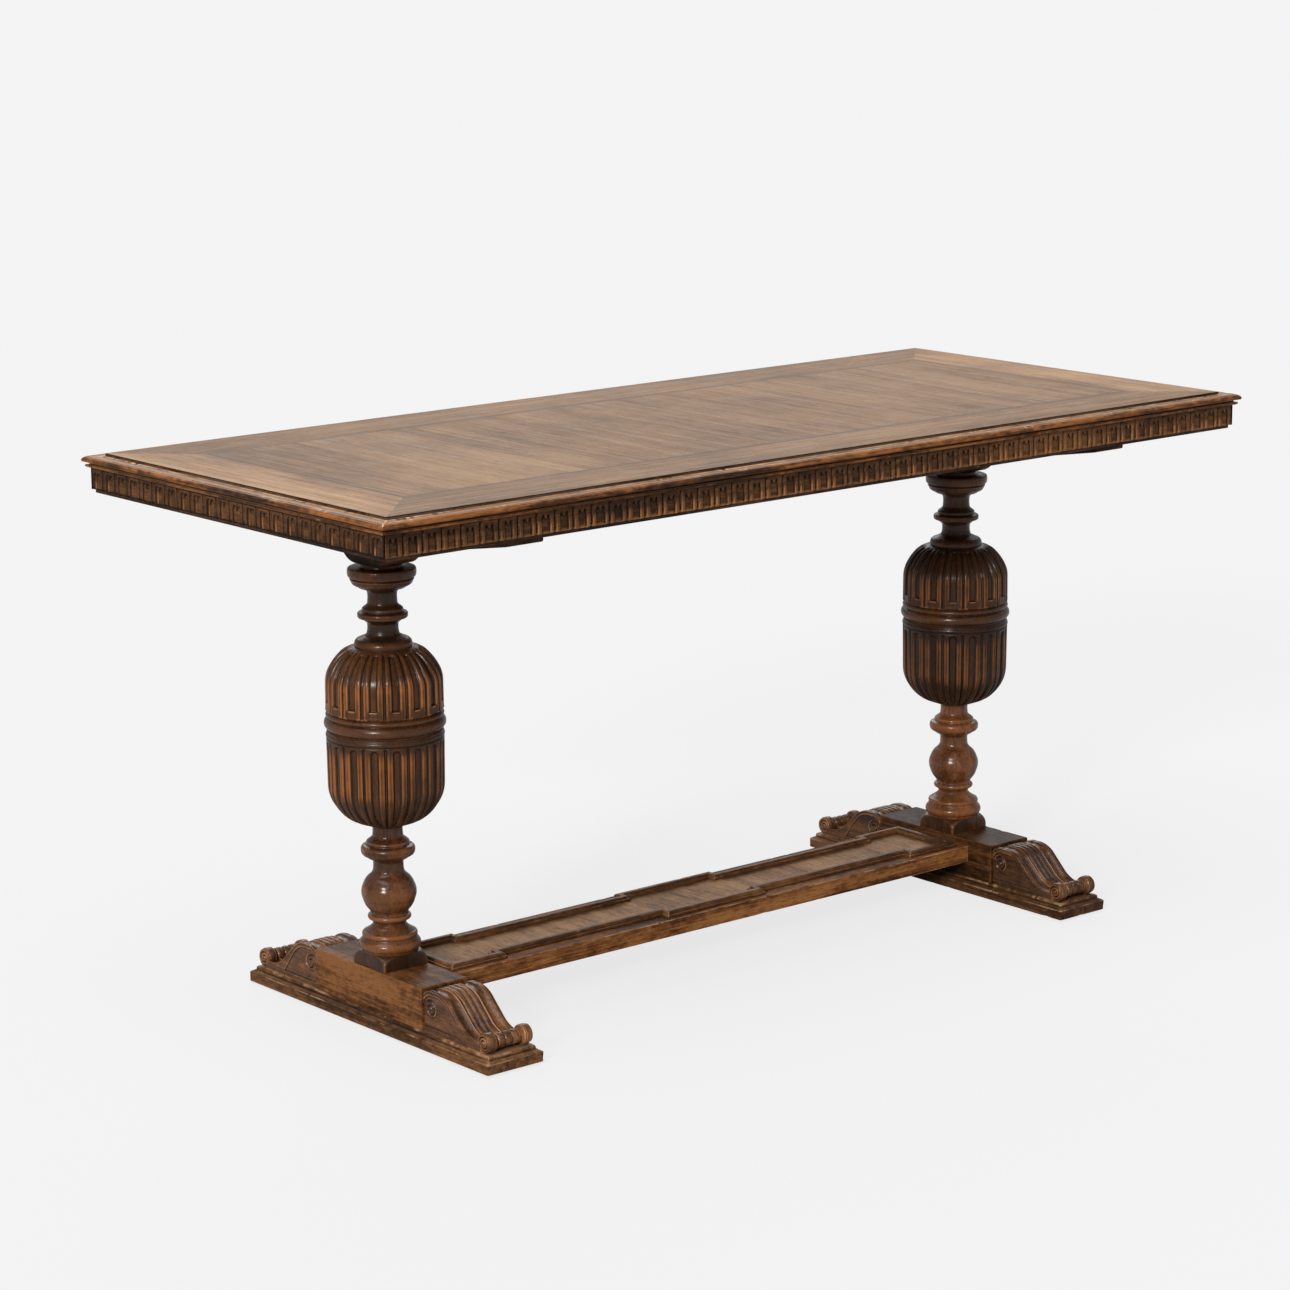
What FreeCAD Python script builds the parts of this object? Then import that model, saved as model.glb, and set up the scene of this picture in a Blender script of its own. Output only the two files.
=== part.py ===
import FreeCAD, Part
import math
import os

from FreeCAD import Vector

# A communion table in carved oak: a moulded, veneered top over a carved frieze, carried on two
# cup-and-cover pillars that stand on sledge feet joined by a broad stretcher. Nothing on it moves.
#
# Millimetres. The origin is on the floor under the middle of the top. +X runs along the length,
# -Y is the front long side and +Z is up. "left" is the -X leg, "right" is the +X leg.

# ---------------------------------------------------------------- overall sizes
TABLE_LENGTH = 1540.0
TABLE_WIDTH = 680.0
TABLE_HEIGHT = 760.0
LEG_INSET = 243.0            # end of the top to the middle of a pillar

# ---------------------------------------------------------------- clearances
DOWEL_CLEARANCE = 0.1        # round a dowel, on the radius
SCREW_CLEARANCE = 0.1        # round a screw, on the radius
TENON_CLEARANCE = 0.25       # round the stretcher's tenons
JOINT_CLEARANCE = 4.0        # end of a bearer to the frieze it lies between

# ---------------------------------------------------------------- top
VENEER_THICKNESS = 1.2
STRINGING_WIDTH = 3.0
BORDER_WIDTH = 95.0          # edge of the raised field to the stringing
RIM_WIDTH = 24.0             # mitred edge moulding, in plan
RIM_DROP = 3.5               # raised field to the flat of the rim
RIM_DEPTH = 15.5             # flat of the rim to its underside
NOSE_DEPTH = 8.5             # height of the rounded nose
NOSE_ROUND = 1.6             # how far the nose stands out past its two arrises
BEAD_SETBACK = 4.5           # nose to the small bead below it
BEAD_ROUND = 1.2

# ---------------------------------------------------------------- frieze
FRIEZE_INSET = 9.5           # outside of the top to the carved face
FRIEZE_THICKNESS = 20.0
FRIEZE_DEPTH = 29.5
CARVED_PITCH = 29.5          # wanted width of one carved tongue
GROOVE_WIDTH = 5.0
GROOVE_DEPTH = 3.5
FILLET_DEPTH = 4.5           # plain strip under the frieze
FILLET_SETBACK = 4.0         # carved face to the face of that strip
CORNER_BLOCK_LEG = 46.0

# ---------------------------------------------------------------- bearers
BEARER_WIDTH = 58.0
BEARER_MIDDLE_DEPTH = 111.5  # depth over the pillar
BEARER_SHOULDER_DEPTH = 85.0
BEARER_END_DEPTH = 44.0
BEARER_SEAT_HALF = 20.0      # half the flat that sits on the pillar
BEARER_SHOULDER_HALF = 74.0  # from the middle to the top of the ogee

# ---------------------------------------------------------------- pillars
DOWEL_RADIUS = 11.0
DOWEL_IN_BLOCK = 38.0
DOWEL_IN_BEARER = 62.0
PLINTH_SIDE = 71.5
PLINTH_SHARE = 20.4          # heights that the pillar is made up of, foot to top, drawn for
LOWER_SHARE = 173.0          # the standard table; they are stretched together to suit the room
CUP_SHARE = 130.0            # that TABLE_HEIGHT leaves between block and bearer
BAND_SHARE = 26.0
COVER_SHARE = 86.5
UPPER_SHARE = 111.0
BULB_RADIUS = 78.3
BULB_FOOT_RADIUS = 25.7      # where the cup narrows to meet the turning below it
BULB_CROWN_RADIUS = 40.0     # where the cover meets the turning above it
LIP_SETBACK = 1.1            # bulb wall to the quirks beside the band
BAND_PROUD = 4.6             # quirks to the outside of the band's bead
FLUTES_ROUND_BULB = 16
FLUTE_RADIUS = 3.2
CUP_FLUTE = (30.0, 118.0)    # foot and head of a flute above the foot of the cup
COVER_FLUTE = (12.0, 58.5)   # the same on the cover

# ---------------------------------------------------------------- feet
PAD_THICKNESS = 3.0
PAD_LENGTH = 118.0
PAD_INSET = 15.0
FOOT_LENGTH = 543.0
FOOT_WIDTH = 92.5
FOOT_EDGE_HEIGHT = 13.6      # plain upright edge of the base board
FOOT_SPLAY_WIDTH = 7.0
FOOT_SPLAY_RISE = 3.6
FOOT_STEP_WIDTH = 2.4
FOOT_BOARD_THICKNESS = 22.4
BLOCK_LENGTH = 240.0
BLOCK_WIDTH = 78.0
BLOCK_HEIGHT = 57.2
BLOCK_ARRIS = 1.2
SCROLL_WIDTH = 73.0
SCROLL_END_GAP = 8.5         # front of a scroll to the end of the base board

# ---------------------------------------------------------------- stretcher
STRETCHER_WIDTH = 146.0
STRETCHER_THICKNESS = 24.5
STRETCHER_RISE = 23.6        # underside of the block to the underside of the stretcher
TENON_LENGTH = 20.0
TENON_WIDTH = 110.0
TENON_SHOULDER = 3.0         # face of the stretcher to the face of its tenon
MORTISE_BOTTOM_GAP = 1.0
PANEL_MOULD_WIDTH = 14.0
PANEL_MOULD_HEIGHT = 8.0
PANEL_WIDE_HALF = 62.5       # outer line of the panel moulding where it is wide
PANEL_NARROW_HALF = 50.0     # and where it is narrow
PANEL_MIDDLE_HALF = 92.0     # half the length of the wide middle
PANEL_END_LENGTH = 111.0     # block to the jog beside it
PANEL_END_GAP = 16.0         # block to the panel moulding's outer line

# ---------------------------------------------------------------- screws
SCREW_LENGTH = 60.0
SCREW_RADIUS = 2.4
SCREW_HEAD_RADIUS = 4.6
SCREW_HEAD_HEIGHT = 3.0
SCREW_POINT = 6.0
SCREW_HEAD_SINK = 2.0                # underside of a base board to its screws' heads
SCREW_TIP_COVER = 5.0                # point of a bearer's screw to the veneer
BEARER_SCREW_PLACES = (0.56, 0.88)   # along each half of a bearer
BLOCK_SCREW_INSET = 25.0             # end of the block to its screw
SCROLL_SCREW_OUT = 30.0              # end of the block to the scroll's screw

# ---------------------------------------------------------------- heights and places worked out
RIM_TOP = TABLE_HEIGHT - RIM_DROP
TOP_UNDERSIDE = RIM_TOP - RIM_DEPTH
CORE_TOP = TABLE_HEIGHT - VENEER_THICKNESS
FRIEZE_UNDERSIDE = TOP_UNDERSIDE - FRIEZE_DEPTH
FILLET_UNDERSIDE = FRIEZE_UNDERSIDE - FILLET_DEPTH
BEARER_UNDERSIDE = TOP_UNDERSIDE - BEARER_MIDDLE_DEPTH
BOARD_TOP = PAD_THICKNESS + FOOT_BOARD_THICKNESS
BLOCK_TOP = BOARD_TOP + BLOCK_HEIGHT
LEG_X = TABLE_LENGTH / 2 - LEG_INSET
PILLAR_DRAWN = PLINTH_SHARE + LOWER_SHARE + CUP_SHARE + BAND_SHARE + COVER_SHARE + UPPER_SHARE
PILLAR_STRETCH = (BEARER_UNDERSIDE - BLOCK_TOP) / PILLAR_DRAWN
PLINTH_TOP = BLOCK_TOP + PLINTH_SHARE * PILLAR_STRETCH
LOWER_TOP = PLINTH_TOP + LOWER_SHARE * PILLAR_STRETCH
CUP_TOP = LOWER_TOP + CUP_SHARE * PILLAR_STRETCH
BAND_TOP = CUP_TOP + BAND_SHARE * PILLAR_STRETCH
COVER_TOP = BAND_TOP + COVER_SHARE * PILLAR_STRETCH
STRETCHER_BOTTOM = BOARD_TOP + STRETCHER_RISE
STRETCHER_TOP = STRETCHER_BOTTOM + STRETCHER_THICKNESS
STRETCHER_HALF = LEG_X - BLOCK_WIDTH / 2

os.makedirs("parts", exist_ok=True)


# ---------------------------------------------------------------- drawing helpers
def outline(points, place):
    """Closed wire through (a, b, bow) points, where bow is how far the middle of the stretch
    leading to that point stands out to the right of the way it runs. place maps (a, b) to 3-D."""
    edges = []
    for (a0, b0, _), (a1, b1, bow) in zip(points[-1:] + points[:-1], points):
        start, end = place(a0, b0), place(a1, b1)
        if bow == 0:
            edges.append(Part.makeLine(start, end))
            continue
        run = math.hypot(a1 - a0, b1 - b0)
        middle = place((a0 + a1) / 2 + (b1 - b0) / run * bow, (b0 + b1) / 2 - (a1 - a0) / run * bow)
        edges.append(Part.Arc(start, middle, end).toShape())
    return Part.Wire(edges)


def prism(points, place, run):
    """Solid with that outline, run along a vector."""
    return Part.Face(outline(points, place)).extrude(run)


def across(x):
    """Outlines drawn as (y, z) on the plane at x."""
    return lambda y, z: Vector(x, y, z)


def along(y):
    """Outlines drawn as (x, z) on the plane at y."""
    return lambda x, z: Vector(x, y, z)


def plan(z):
    """Outlines drawn as (x, y) on the level z."""
    return lambda x, y: Vector(x, y, z)


def box(x0, x1, y0, y1, z0, z1):
    return Part.makeBox(x1 - x0, y1 - y0, z1 - z0, Vector(x0, y0, z0))


def rod(x, y, z0, z1, radius):
    return Part.makeCylinder(radius, z1 - z0, Vector(x, y, z0))


def turned(steps, base):
    """Solid of revolution round the upright axis through the origin. steps are (radius, height,
    bow) from the foot up, with heights above base drawn for the standard pillar."""
    drawn = [(radius, base + height * PILLAR_STRETCH, bow) for radius, height, bow in steps]
    closed = [(0.0, drawn[0][1], 0)] + drawn + [(0.0, drawn[-1][1], 0)]
    return Part.Face(outline(closed, along(0))).revolve(Vector(0, 0, 0), Vector(0, 0, 1), 360)


def bored(solid):
    """The same turning with the hole for the pillar's dowel through it."""
    low, high = solid.BoundBox.ZMin - 1, solid.BoundBox.ZMax + 1
    return solid.cut(rod(0, 0, low, high, DOWEL_RADIUS + DOWEL_CLEARANCE))


def moved(solid, x, y=0.0, z=0.0):
    copy = solid.copy()
    copy.translate(Vector(x, y, z))
    return copy


def half_turned(solid):
    """The solid turned half round the upright axis, front to back and left to right."""
    copy = solid.copy()
    copy.rotate(Vector(0, 0, 0), Vector(0, 0, 1), 180)
    return copy


def save(node, shape):
    shape.exportStep("parts/" + node + ".step")


def mitred_plans(half_x, half_y, width):
    """Plans of the front and left lengths of a mitred frame of that outer size and width."""
    in_x, in_y = half_x - width, half_y - width
    front = [(-half_x, -half_y, 0), (half_x, -half_y, 0), (in_x, -in_y, 0), (-in_x, -in_y, 0)]
    left = [(-half_x, half_y, 0), (-half_x, -half_y, 0), (-in_x, -in_y, 0), (-in_x, in_y, 0)]
    return front, left


def four_sides(profile, low_z, high_z, width):
    """Four mitred lengths round the top. profile lists (setback, z, bow) points; each length is
    the profile run the whole way, trimmed to its own trapezium in plan."""
    half_x, half_y = TABLE_LENGTH / 2, TABLE_WIDTH / 2
    front_section = [(-half_y + setback, z, bow) for setback, z, bow in profile]
    left_section = [(-half_x + setback, z, bow) for setback, z, bow in profile]
    front = prism(front_section, across(-half_x), Vector(TABLE_LENGTH, 0, 0))
    left = prism(left_section, along(-half_y), Vector(0, TABLE_WIDTH, 0))
    front_plan, left_plan = mitred_plans(half_x, half_y, width)
    rise = Vector(0, 0, high_z - low_z)
    front = front.common(prism(front_plan, plan(low_z), rise))
    left = left.common(prism(left_plan, plan(low_z), rise))
    return {"front": front, "left": left, "back": half_turned(front), "right": half_turned(left)}


# ---------------------------------------------------------------- top
def edge_mouldings():
    nose_bottom = RIM_TOP - NOSE_DEPTH
    steps = [
        (RIM_WIDTH, TOP_UNDERSIDE, 0),
        (BEAD_SETBACK + BEAD_ROUND + 2.0, TOP_UNDERSIDE, 0),
        (BEAD_SETBACK + BEAD_ROUND, TOP_UNDERSIDE + 1.4, 0),
        (BEAD_SETBACK + BEAD_ROUND, nose_bottom - 0.6, -BEAD_ROUND),
        (NOSE_ROUND, nose_bottom, 0),
        (NOSE_ROUND, RIM_TOP, -NOSE_ROUND),
        (RIM_WIDTH, RIM_TOP, 0),
    ]
    return four_sides(steps, TOP_UNDERSIDE, RIM_TOP, RIM_WIDTH)


def top_core():
    half_x, half_y = TABLE_LENGTH / 2 - RIM_WIDTH, TABLE_WIDTH / 2 - RIM_WIDTH
    core = box(-half_x, half_x, -half_y, half_y, TOP_UNDERSIDE, CORE_TOP)
    for x, y, z in bearer_screws():
        core = core.cut(rod(x, y, TOP_UNDERSIDE - 1, z + SCREW_LENGTH, SCREW_RADIUS + SCREW_CLEARANCE))
    return core


def veneers():
    """The border's four mitred leaves, the stringing let in inside them and the middle field."""
    out_x, out_y = TABLE_LENGTH / 2 - RIM_WIDTH, TABLE_WIDTH / 2 - RIM_WIDTH
    line_x, line_y = out_x - BORDER_WIDTH, out_y - BORDER_WIDTH
    in_x, in_y = line_x - STRINGING_WIDTH, line_y - STRINGING_WIDTH
    rise = Vector(0, 0, VENEER_THICKNESS)
    front, left = [prism(p, plan(CORE_TOP), rise) for p in mitred_plans(out_x, out_y, BORDER_WIDTH)]
    strips = [prism(p, plan(CORE_TOP), rise) for p in mitred_plans(line_x, line_y, STRINGING_WIDTH)]
    return {
        "border_veneer_front": front,
        "border_veneer_left": left,
        "border_veneer_back": half_turned(front),
        "border_veneer_right": half_turned(left),
        "stringing": Part.Compound(strips + [half_turned(strip) for strip in strips]),
        "field_veneer": box(-in_x, in_x, -in_y, in_y, CORE_TOP, TABLE_HEIGHT),
    }


# ---------------------------------------------------------------- frieze
def carved_plan(half_length, half_width):
    """Plan of the rail on the -Y side: a mitred length whose face is cut by upright V-grooves
    into equal tongues."""
    count = round(2 * half_length / CARVED_PITCH)
    pitch = 2 * half_length / count
    points = [(-half_length, -half_width, 0)]
    for groove in range(1, count):
        x = -half_length + groove * pitch
        points += [
            (x - GROOVE_WIDTH / 2, -half_width, 0),
            (x, -half_width + GROOVE_DEPTH, 0),
            (x + GROOVE_WIDTH / 2, -half_width, 0),
        ]
    inner_x, inner_y = half_length - FRIEZE_THICKNESS, half_width - FRIEZE_THICKNESS
    return points + [(half_length, -half_width, 0), (inner_x, -inner_y, 0), (-inner_x, -inner_y, 0)]


def frieze_rails():
    half_x, half_y = TABLE_LENGTH / 2 - FRIEZE_INSET, TABLE_WIDTH / 2 - FRIEZE_INSET
    rise = Vector(0, 0, FRIEZE_DEPTH)
    front = prism(carved_plan(half_x, half_y), plan(FRIEZE_UNDERSIDE), rise)
    right = prism(carved_plan(half_y, half_x), plan(FRIEZE_UNDERSIDE), rise)
    right.rotate(Vector(0, 0, 0), Vector(0, 0, 1), 90)
    return {"front": front, "right": right, "back": half_turned(front), "left": half_turned(right)}


def frieze_fillets():
    setback = FRIEZE_INSET + FILLET_SETBACK
    inner = FRIEZE_INSET + FRIEZE_THICKNESS
    steps = [
        (inner, FILLET_UNDERSIDE, 0),
        (setback, FILLET_UNDERSIDE, 0),
        (setback, FRIEZE_UNDERSIDE, 0),
        (inner, FRIEZE_UNDERSIDE, 0),
    ]
    return four_sides(steps, FILLET_UNDERSIDE, FRIEZE_UNDERSIDE, inner)


def corner_blocks():
    """Triangular glue blocks in the frieze's four inner corners."""
    corner_x = TABLE_LENGTH / 2 - FRIEZE_INSET - FRIEZE_THICKNESS
    corner_y = TABLE_WIDTH / 2 - FRIEZE_INSET - FRIEZE_THICKNESS
    blocks = []
    for x, y in ((1, 1), (-1, 1), (-1, -1), (1, -1)):
        corner = [
            (x * corner_x, y * corner_y, 0),
            (x * (corner_x - CORNER_BLOCK_LEG), y * corner_y, 0),
            (x * corner_x, y * (corner_y - CORNER_BLOCK_LEG), 0),
        ]
        blocks.append(prism(corner, plan(FRIEZE_UNDERSIDE), Vector(0, 0, FRIEZE_DEPTH)))
    return Part.Compound(blocks)


# ---------------------------------------------------------------- bearers
def bearer():
    """Cross bearer of one leg, at x = 0: flat over the pillar, an ogee up to a shoulder, then a
    long straight taper to thin ends that show under the frieze."""
    half = TABLE_WIDTH / 2 - FRIEZE_INSET - FRIEZE_THICKNESS - JOINT_CLEARANCE
    seat = BEARER_UNDERSIDE
    shoulder = TOP_UNDERSIDE - BEARER_SHOULDER_DEPTH
    end = TOP_UNDERSIDE - BEARER_END_DEPTH
    turn_y, turn_z = (BEARER_SEAT_HALF + BEARER_SHOULDER_HALF) / 2, (seat + shoulder) / 2
    rise = math.atan2(turn_z - seat, turn_y - BEARER_SEAT_HALF)
    swell = math.hypot(turn_y - BEARER_SEAT_HALF, turn_z - seat) / 2 * math.tan(rise / 2)
    steps = [
        (-BEARER_SEAT_HALF, seat, swell),
        (BEARER_SEAT_HALF, seat, 0),
        (turn_y, turn_z, swell),
        (BEARER_SHOULDER_HALF, shoulder, -swell),
        (half, end, 0),
        (half, TOP_UNDERSIDE, 0),
        (-half, TOP_UNDERSIDE, 0),
        (-half, end, 0),
        (-BEARER_SHOULDER_HALF, shoulder, 0),
        (-turn_y, turn_z, -swell),
    ]
    body = prism(steps, across(-BEARER_WIDTH / 2), Vector(BEARER_WIDTH, 0, 0))
    return body.cut(rod(0, 0, seat - 1, seat + DOWEL_IN_BEARER, DOWEL_RADIUS + DOWEL_CLEARANCE))


def bearer_screws():
    """Foot of each screw that holds a bearer up to the core: (x, y, underside of its head)."""
    half = TABLE_WIDTH / 2 - FRIEZE_INSET - FRIEZE_THICKNESS - JOINT_CLEARANCE
    head = CORE_TOP - SCREW_TIP_COVER - SCREW_LENGTH
    places = []
    for x in (-LEG_X, LEG_X):
        for share in BEARER_SCREW_PLACES:
            places += [(x, -half * share, head), (x, half * share, head)]
    return places


def foot_screws():
    """Foot of each screw that holds block and scrolls down on their base board."""
    places = []
    for x in (-LEG_X, LEG_X):
        for y in (BLOCK_LENGTH / 2 - BLOCK_SCREW_INSET, BLOCK_LENGTH / 2 + SCROLL_SCREW_OUT):
            places += [(x, -y, PAD_THICKNESS + SCREW_HEAD_SINK), (x, y, PAD_THICKNESS + SCREW_HEAD_SINK)]
    return places


def screw(x, y, z):
    """Countersunk wood screw, head down at z, point up."""
    point_foot = z + SCREW_LENGTH - SCREW_POINT
    head = Part.makeCone(SCREW_HEAD_RADIUS, SCREW_RADIUS, SCREW_HEAD_HEIGHT, Vector(x, y, z))
    shank = rod(x, y, z + SCREW_HEAD_HEIGHT, point_foot, SCREW_RADIUS)
    point = Part.makeCone(SCREW_RADIUS, SCREW_RADIUS / 8, SCREW_POINT, Vector(x, y, point_foot))
    return head.fuse([shank, point]).removeSplitter()


def screw_hole(x, y, z, low):
    """Hole for one screw: a counterbore from low up to the top of its head, then a clear hole."""
    wide = rod(x, y, low, z + SCREW_HEAD_HEIGHT, SCREW_HEAD_RADIUS + SCREW_CLEARANCE)
    return wide.fuse(rod(x, y, z, z + SCREW_LENGTH, SCREW_RADIUS + SCREW_CLEARANCE))


# ---------------------------------------------------------------- pillars
def flutes(base, heights):
    """Upright round-bottomed grooves round the bulb, between two heights above base."""
    low, high = (base + height * PILLAR_STRETCH for height in heights)
    radius = BULB_RADIUS + FLUTE_RADIUS / 3
    grooves = []
    for number in range(FLUTES_ROUND_BULB):
        angle = 2 * math.pi * number / FLUTES_ROUND_BULB
        grooves.append(rod(radius * math.cos(angle), radius * math.sin(angle), low, high, FLUTE_RADIUS))
    return grooves


def pillar_lower():
    """Torus foot, double roll, ball and neck, up to the underside of the cup."""
    return bored(turned([
        (38.0, 0.0, 0), (38.8, 3.0, 0), (38.8, 15.5, 3.0), (36.4, 19.5, 0), (34.0, 26.5, 2.2),
        (27.0, 31.0, 0), (21.9, 36.0, 0), (23.0, 39.5, 0), (25.8, 42.5, 0), (25.8, 50.0, 3.6),
        (25.6, 53.0, 0), (27.0, 56.0, 0), (35.2, 70.5, 1.2), (34.6, 91.0, 2.3), (27.6, 102.0, 0.8),
        (21.0, 110.0, -0.8), (20.5, 122.0, -0.3), (28.6, 127.6, -1.0), (32.7, 130.6, 0),
        (36.5, 138.0, 1.2), (29.0, 148.0, 0.6), (24.0, 153.6, 0), (20.6, 160.0, -0.8),
        (20.6, 171.0, -0.4), (BULB_FOOT_RADIUS, LOWER_SHARE, 0),
    ], PLINTH_TOP))


def pillar_cup():
    """Fluted cup: a full round underside, straight wall and rounded rim."""
    wall, lip = BULB_RADIUS, BULB_RADIUS - LIP_SETBACK
    cup = turned([
        (BULB_FOOT_RADIUS, 0.0, 0), (wall * 0.52, 5.5, 0), (wall * 0.75, 16.5, 2.0),
        (wall * 0.91, 33.0, 2.4), (wall - 0.7, 57.0, 1.6), (wall, 122.0, 0), (lip, 128.0, 1.0),
        (lip, CUP_SHARE, 0),
    ], LOWER_TOP)
    return bored(cup.cut(flutes(LOWER_TOP, CUP_FLUTE)))


def pillar_band():
    """Turned ring between cup and cover, with a bold bead round it."""
    lip = BULB_RADIUS - LIP_SETBACK
    return bored(turned([
        (lip - 1.2, 0.0, 0), (lip, 3.0, 0), (lip, 23.0, BAND_PROUD), (lip - 1.2, BAND_SHARE, 0),
    ], CUP_TOP))


def pillar_cover():
    """Fluted cover: a straight wall that rounds over into a dome."""
    wall, lip = BULB_RADIUS, BULB_RADIUS - LIP_SETBACK
    cover = turned([
        (lip - 1.2, 0.0, 0), (lip, 1.0, 0), (wall, 5.0, 0.8), (wall - 0.3, 40.0, 0),
        (wall * 0.945, 56.0, 1.4), (wall * 0.78, 75.0, 2.4), (wall * 0.59, 84.5, 1.0),
        (BULB_CROWN_RADIUS, COVER_SHARE, 0),
    ], BAND_TOP)
    return bored(cover.cut(flutes(BAND_TOP, COVER_FLUTE)))


def pillar_upper():
    """Three collars with necks between them; the broad top collar carries the bearer."""
    return bored(turned([
        (38.5, 0.0, 0), (38.5, 1.5, 0), (34.6, 10.0, 1.6), (25.0, 14.0, 0), (21.5, 19.0, -0.8),
        (21.5, 28.5, -0.5), (26.0, 33.5, -0.6), (33.0, 39.0, 0), (33.0, 44.5, 1.4), (29.0, 48.5, 0),
        (25.0, 52.5, 0), (20.0, 58.0, -1.0), (20.0, 72.0, -0.4), (24.0, 76.5, -0.6), (31.0, 78.5, 0),
        (35.0, 81.5, 0), (41.0, 86.5, 1.2), (43.0, 91.0, 0), (43.0, 92.5, 0), (45.0, 93.5, 0),
        (45.6, 103.0, 0.6), (43.0, 105.5, 0.8), (30.0, 106.5, 0), (29.0, UPPER_SHARE, 0),
    ], COVER_TOP))


def pillar_plinth():
    """Square block that the turning stands on, its shoulders rounded over on the lathe."""
    half = PLINTH_SIDE / 2
    square = box(-half, half, -half, half, BLOCK_TOP, PLINTH_TOP)
    dome = turned([(52.0, 0.0, 0), (50.0, 8.0, 0.5), (38.0, PLINTH_SHARE, 2.6)], BLOCK_TOP)
    return bored(square.common(dome))


def pillar_dowel():
    """Long round dowel that threads every turning together and pins them to block and bearer."""
    low, high = BLOCK_TOP - DOWEL_IN_BLOCK, BEARER_UNDERSIDE + DOWEL_IN_BEARER - 1.0
    return rod(0, 0, low, high, DOWEL_RADIUS)


# ---------------------------------------------------------------- feet
def foot_edge(half):
    """Half-and-half section of the base board across a side of the given half width."""
    splay = half - FOOT_SPLAY_WIDTH
    step = splay - FOOT_STEP_WIDTH
    low, arris = PAD_THICKNESS, PAD_THICKNESS + FOOT_EDGE_HEIGHT
    right = [
        (half, low, 0),
        (half, arris, 0),
        (splay, arris + FOOT_SPLAY_RISE, 0),
        (splay, BOARD_TOP - FOOT_STEP_WIDTH, 0),
        (step, BOARD_TOP, FOOT_STEP_WIDTH * 0.2),
    ]
    left = [(-a, z, 0) for a, z, _ in reversed(right)]
    left[1] = (left[1][0], left[1][1], FOOT_STEP_WIDTH * 0.2)
    return right + left


def foot_board():
    half_x, half_y = FOOT_WIDTH / 2, FOOT_LENGTH / 2
    lengthways = prism(foot_edge(half_x), along(-half_y), Vector(0, FOOT_LENGTH, 0))
    crossways = prism(foot_edge(half_y), across(-half_x), Vector(FOOT_WIDTH, 0, 0))
    return lengthways.common(crossways)


def foot_block():
    """Block under the pillar, at x = 0, with the stretcher's mortise in its +X side."""
    half_x, half_y = BLOCK_WIDTH / 2, BLOCK_LENGTH / 2
    block = box(-half_x, half_x, -half_y, half_y, BOARD_TOP, BLOCK_TOP)
    rim = [edge for edge in block.Edges if edge.BoundBox.ZMin > BLOCK_TOP - 1]
    block = block.makeChamfer(BLOCK_ARRIS, rim)
    bottom = half_x - TENON_LENGTH - MORTISE_BOTTOM_GAP
    wide = TENON_WIDTH / 2 + TENON_CLEARANCE
    thin = TENON_SHOULDER - TENON_CLEARANCE
    mortise = box(bottom, half_x + 1, -wide, wide, STRETCHER_BOTTOM + thin, STRETCHER_TOP - thin)
    hole = rod(0, 0, BLOCK_TOP - DOWEL_IN_BLOCK - 1, BLOCK_TOP + 1, DOWEL_RADIUS + DOWEL_CLEARANCE)
    return block.cut([mortise, hole])


def scroll_bracket():
    """Carved S-scroll bracket at x = 0 against the block's -Y end: an upper curl at the block, a
    falling S and a roll that rests near the end of the base board."""
    reach = FOOT_LENGTH / 2 - BLOCK_LENGTH / 2 - SCROLL_END_GAP
    stretch = reach / 143.0
    steps = [
        (0.0, 0.0, 0),
        (0.0, 49.0, 0),
        (22.0, 57.5, -3.4),
        (60.0, 44.0, -5.0),
        (82.0, 23.0, 0),
        (116.4, 11.5, 3.6),
        (142.8, 13.4, -13.4),
        (129.4, 0.0, -3.9),
    ]
    drawn = [(-BLOCK_LENGTH / 2 - s * stretch, BOARD_TOP + z, -bow) for s, z, bow in steps]
    return prism(drawn, across(-SCROLL_WIDTH / 2), Vector(SCROLL_WIDTH, 0, 0))


def floor_pads():
    """Thin pads under the ends of both base boards."""
    half_x = FOOT_WIDTH / 2 - PAD_INSET
    far = FOOT_LENGTH / 2 - PAD_INSET
    pads = []
    for x in (-LEG_X, LEG_X):
        for y0, y1 in ((-far, -far + PAD_LENGTH), (far - PAD_LENGTH, far)):
            pads.append(box(x - half_x, x + half_x, y0, y1, 0, PAD_THICKNESS))
    return Part.Compound(pads)


# ---------------------------------------------------------------- stretcher
def stretcher_board():
    half_y = STRETCHER_WIDTH / 2
    board = box(-STRETCHER_HALF, STRETCHER_HALF, -half_y, half_y, STRETCHER_BOTTOM, STRETCHER_TOP)
    reach = STRETCHER_HALF + TENON_LENGTH
    low, high = STRETCHER_BOTTOM + TENON_SHOULDER, STRETCHER_TOP - TENON_SHOULDER
    tenons = box(-reach, reach, -TENON_WIDTH / 2, TENON_WIDTH / 2, low, high)
    return board.fuse(tenons).removeSplitter()


def panel_section():
    """Section of the panel moulding: (distance in from its outer line, height, bow)."""
    width, height = PANEL_MOULD_WIDTH, PANEL_MOULD_HEIGHT
    return [
        (0.0, 0.0, 0),
        (width, 0.0, 0),
        (width, height * 0.35, 0),
        (width * 0.80, height * 0.62, 0.9),
        (width * 0.74, height, 0),
        (width * 0.34, height, 0),
        (width * 0.16, height * 0.5, 0.8),
        (0.0, height * 0.42, 0),
    ]


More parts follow.
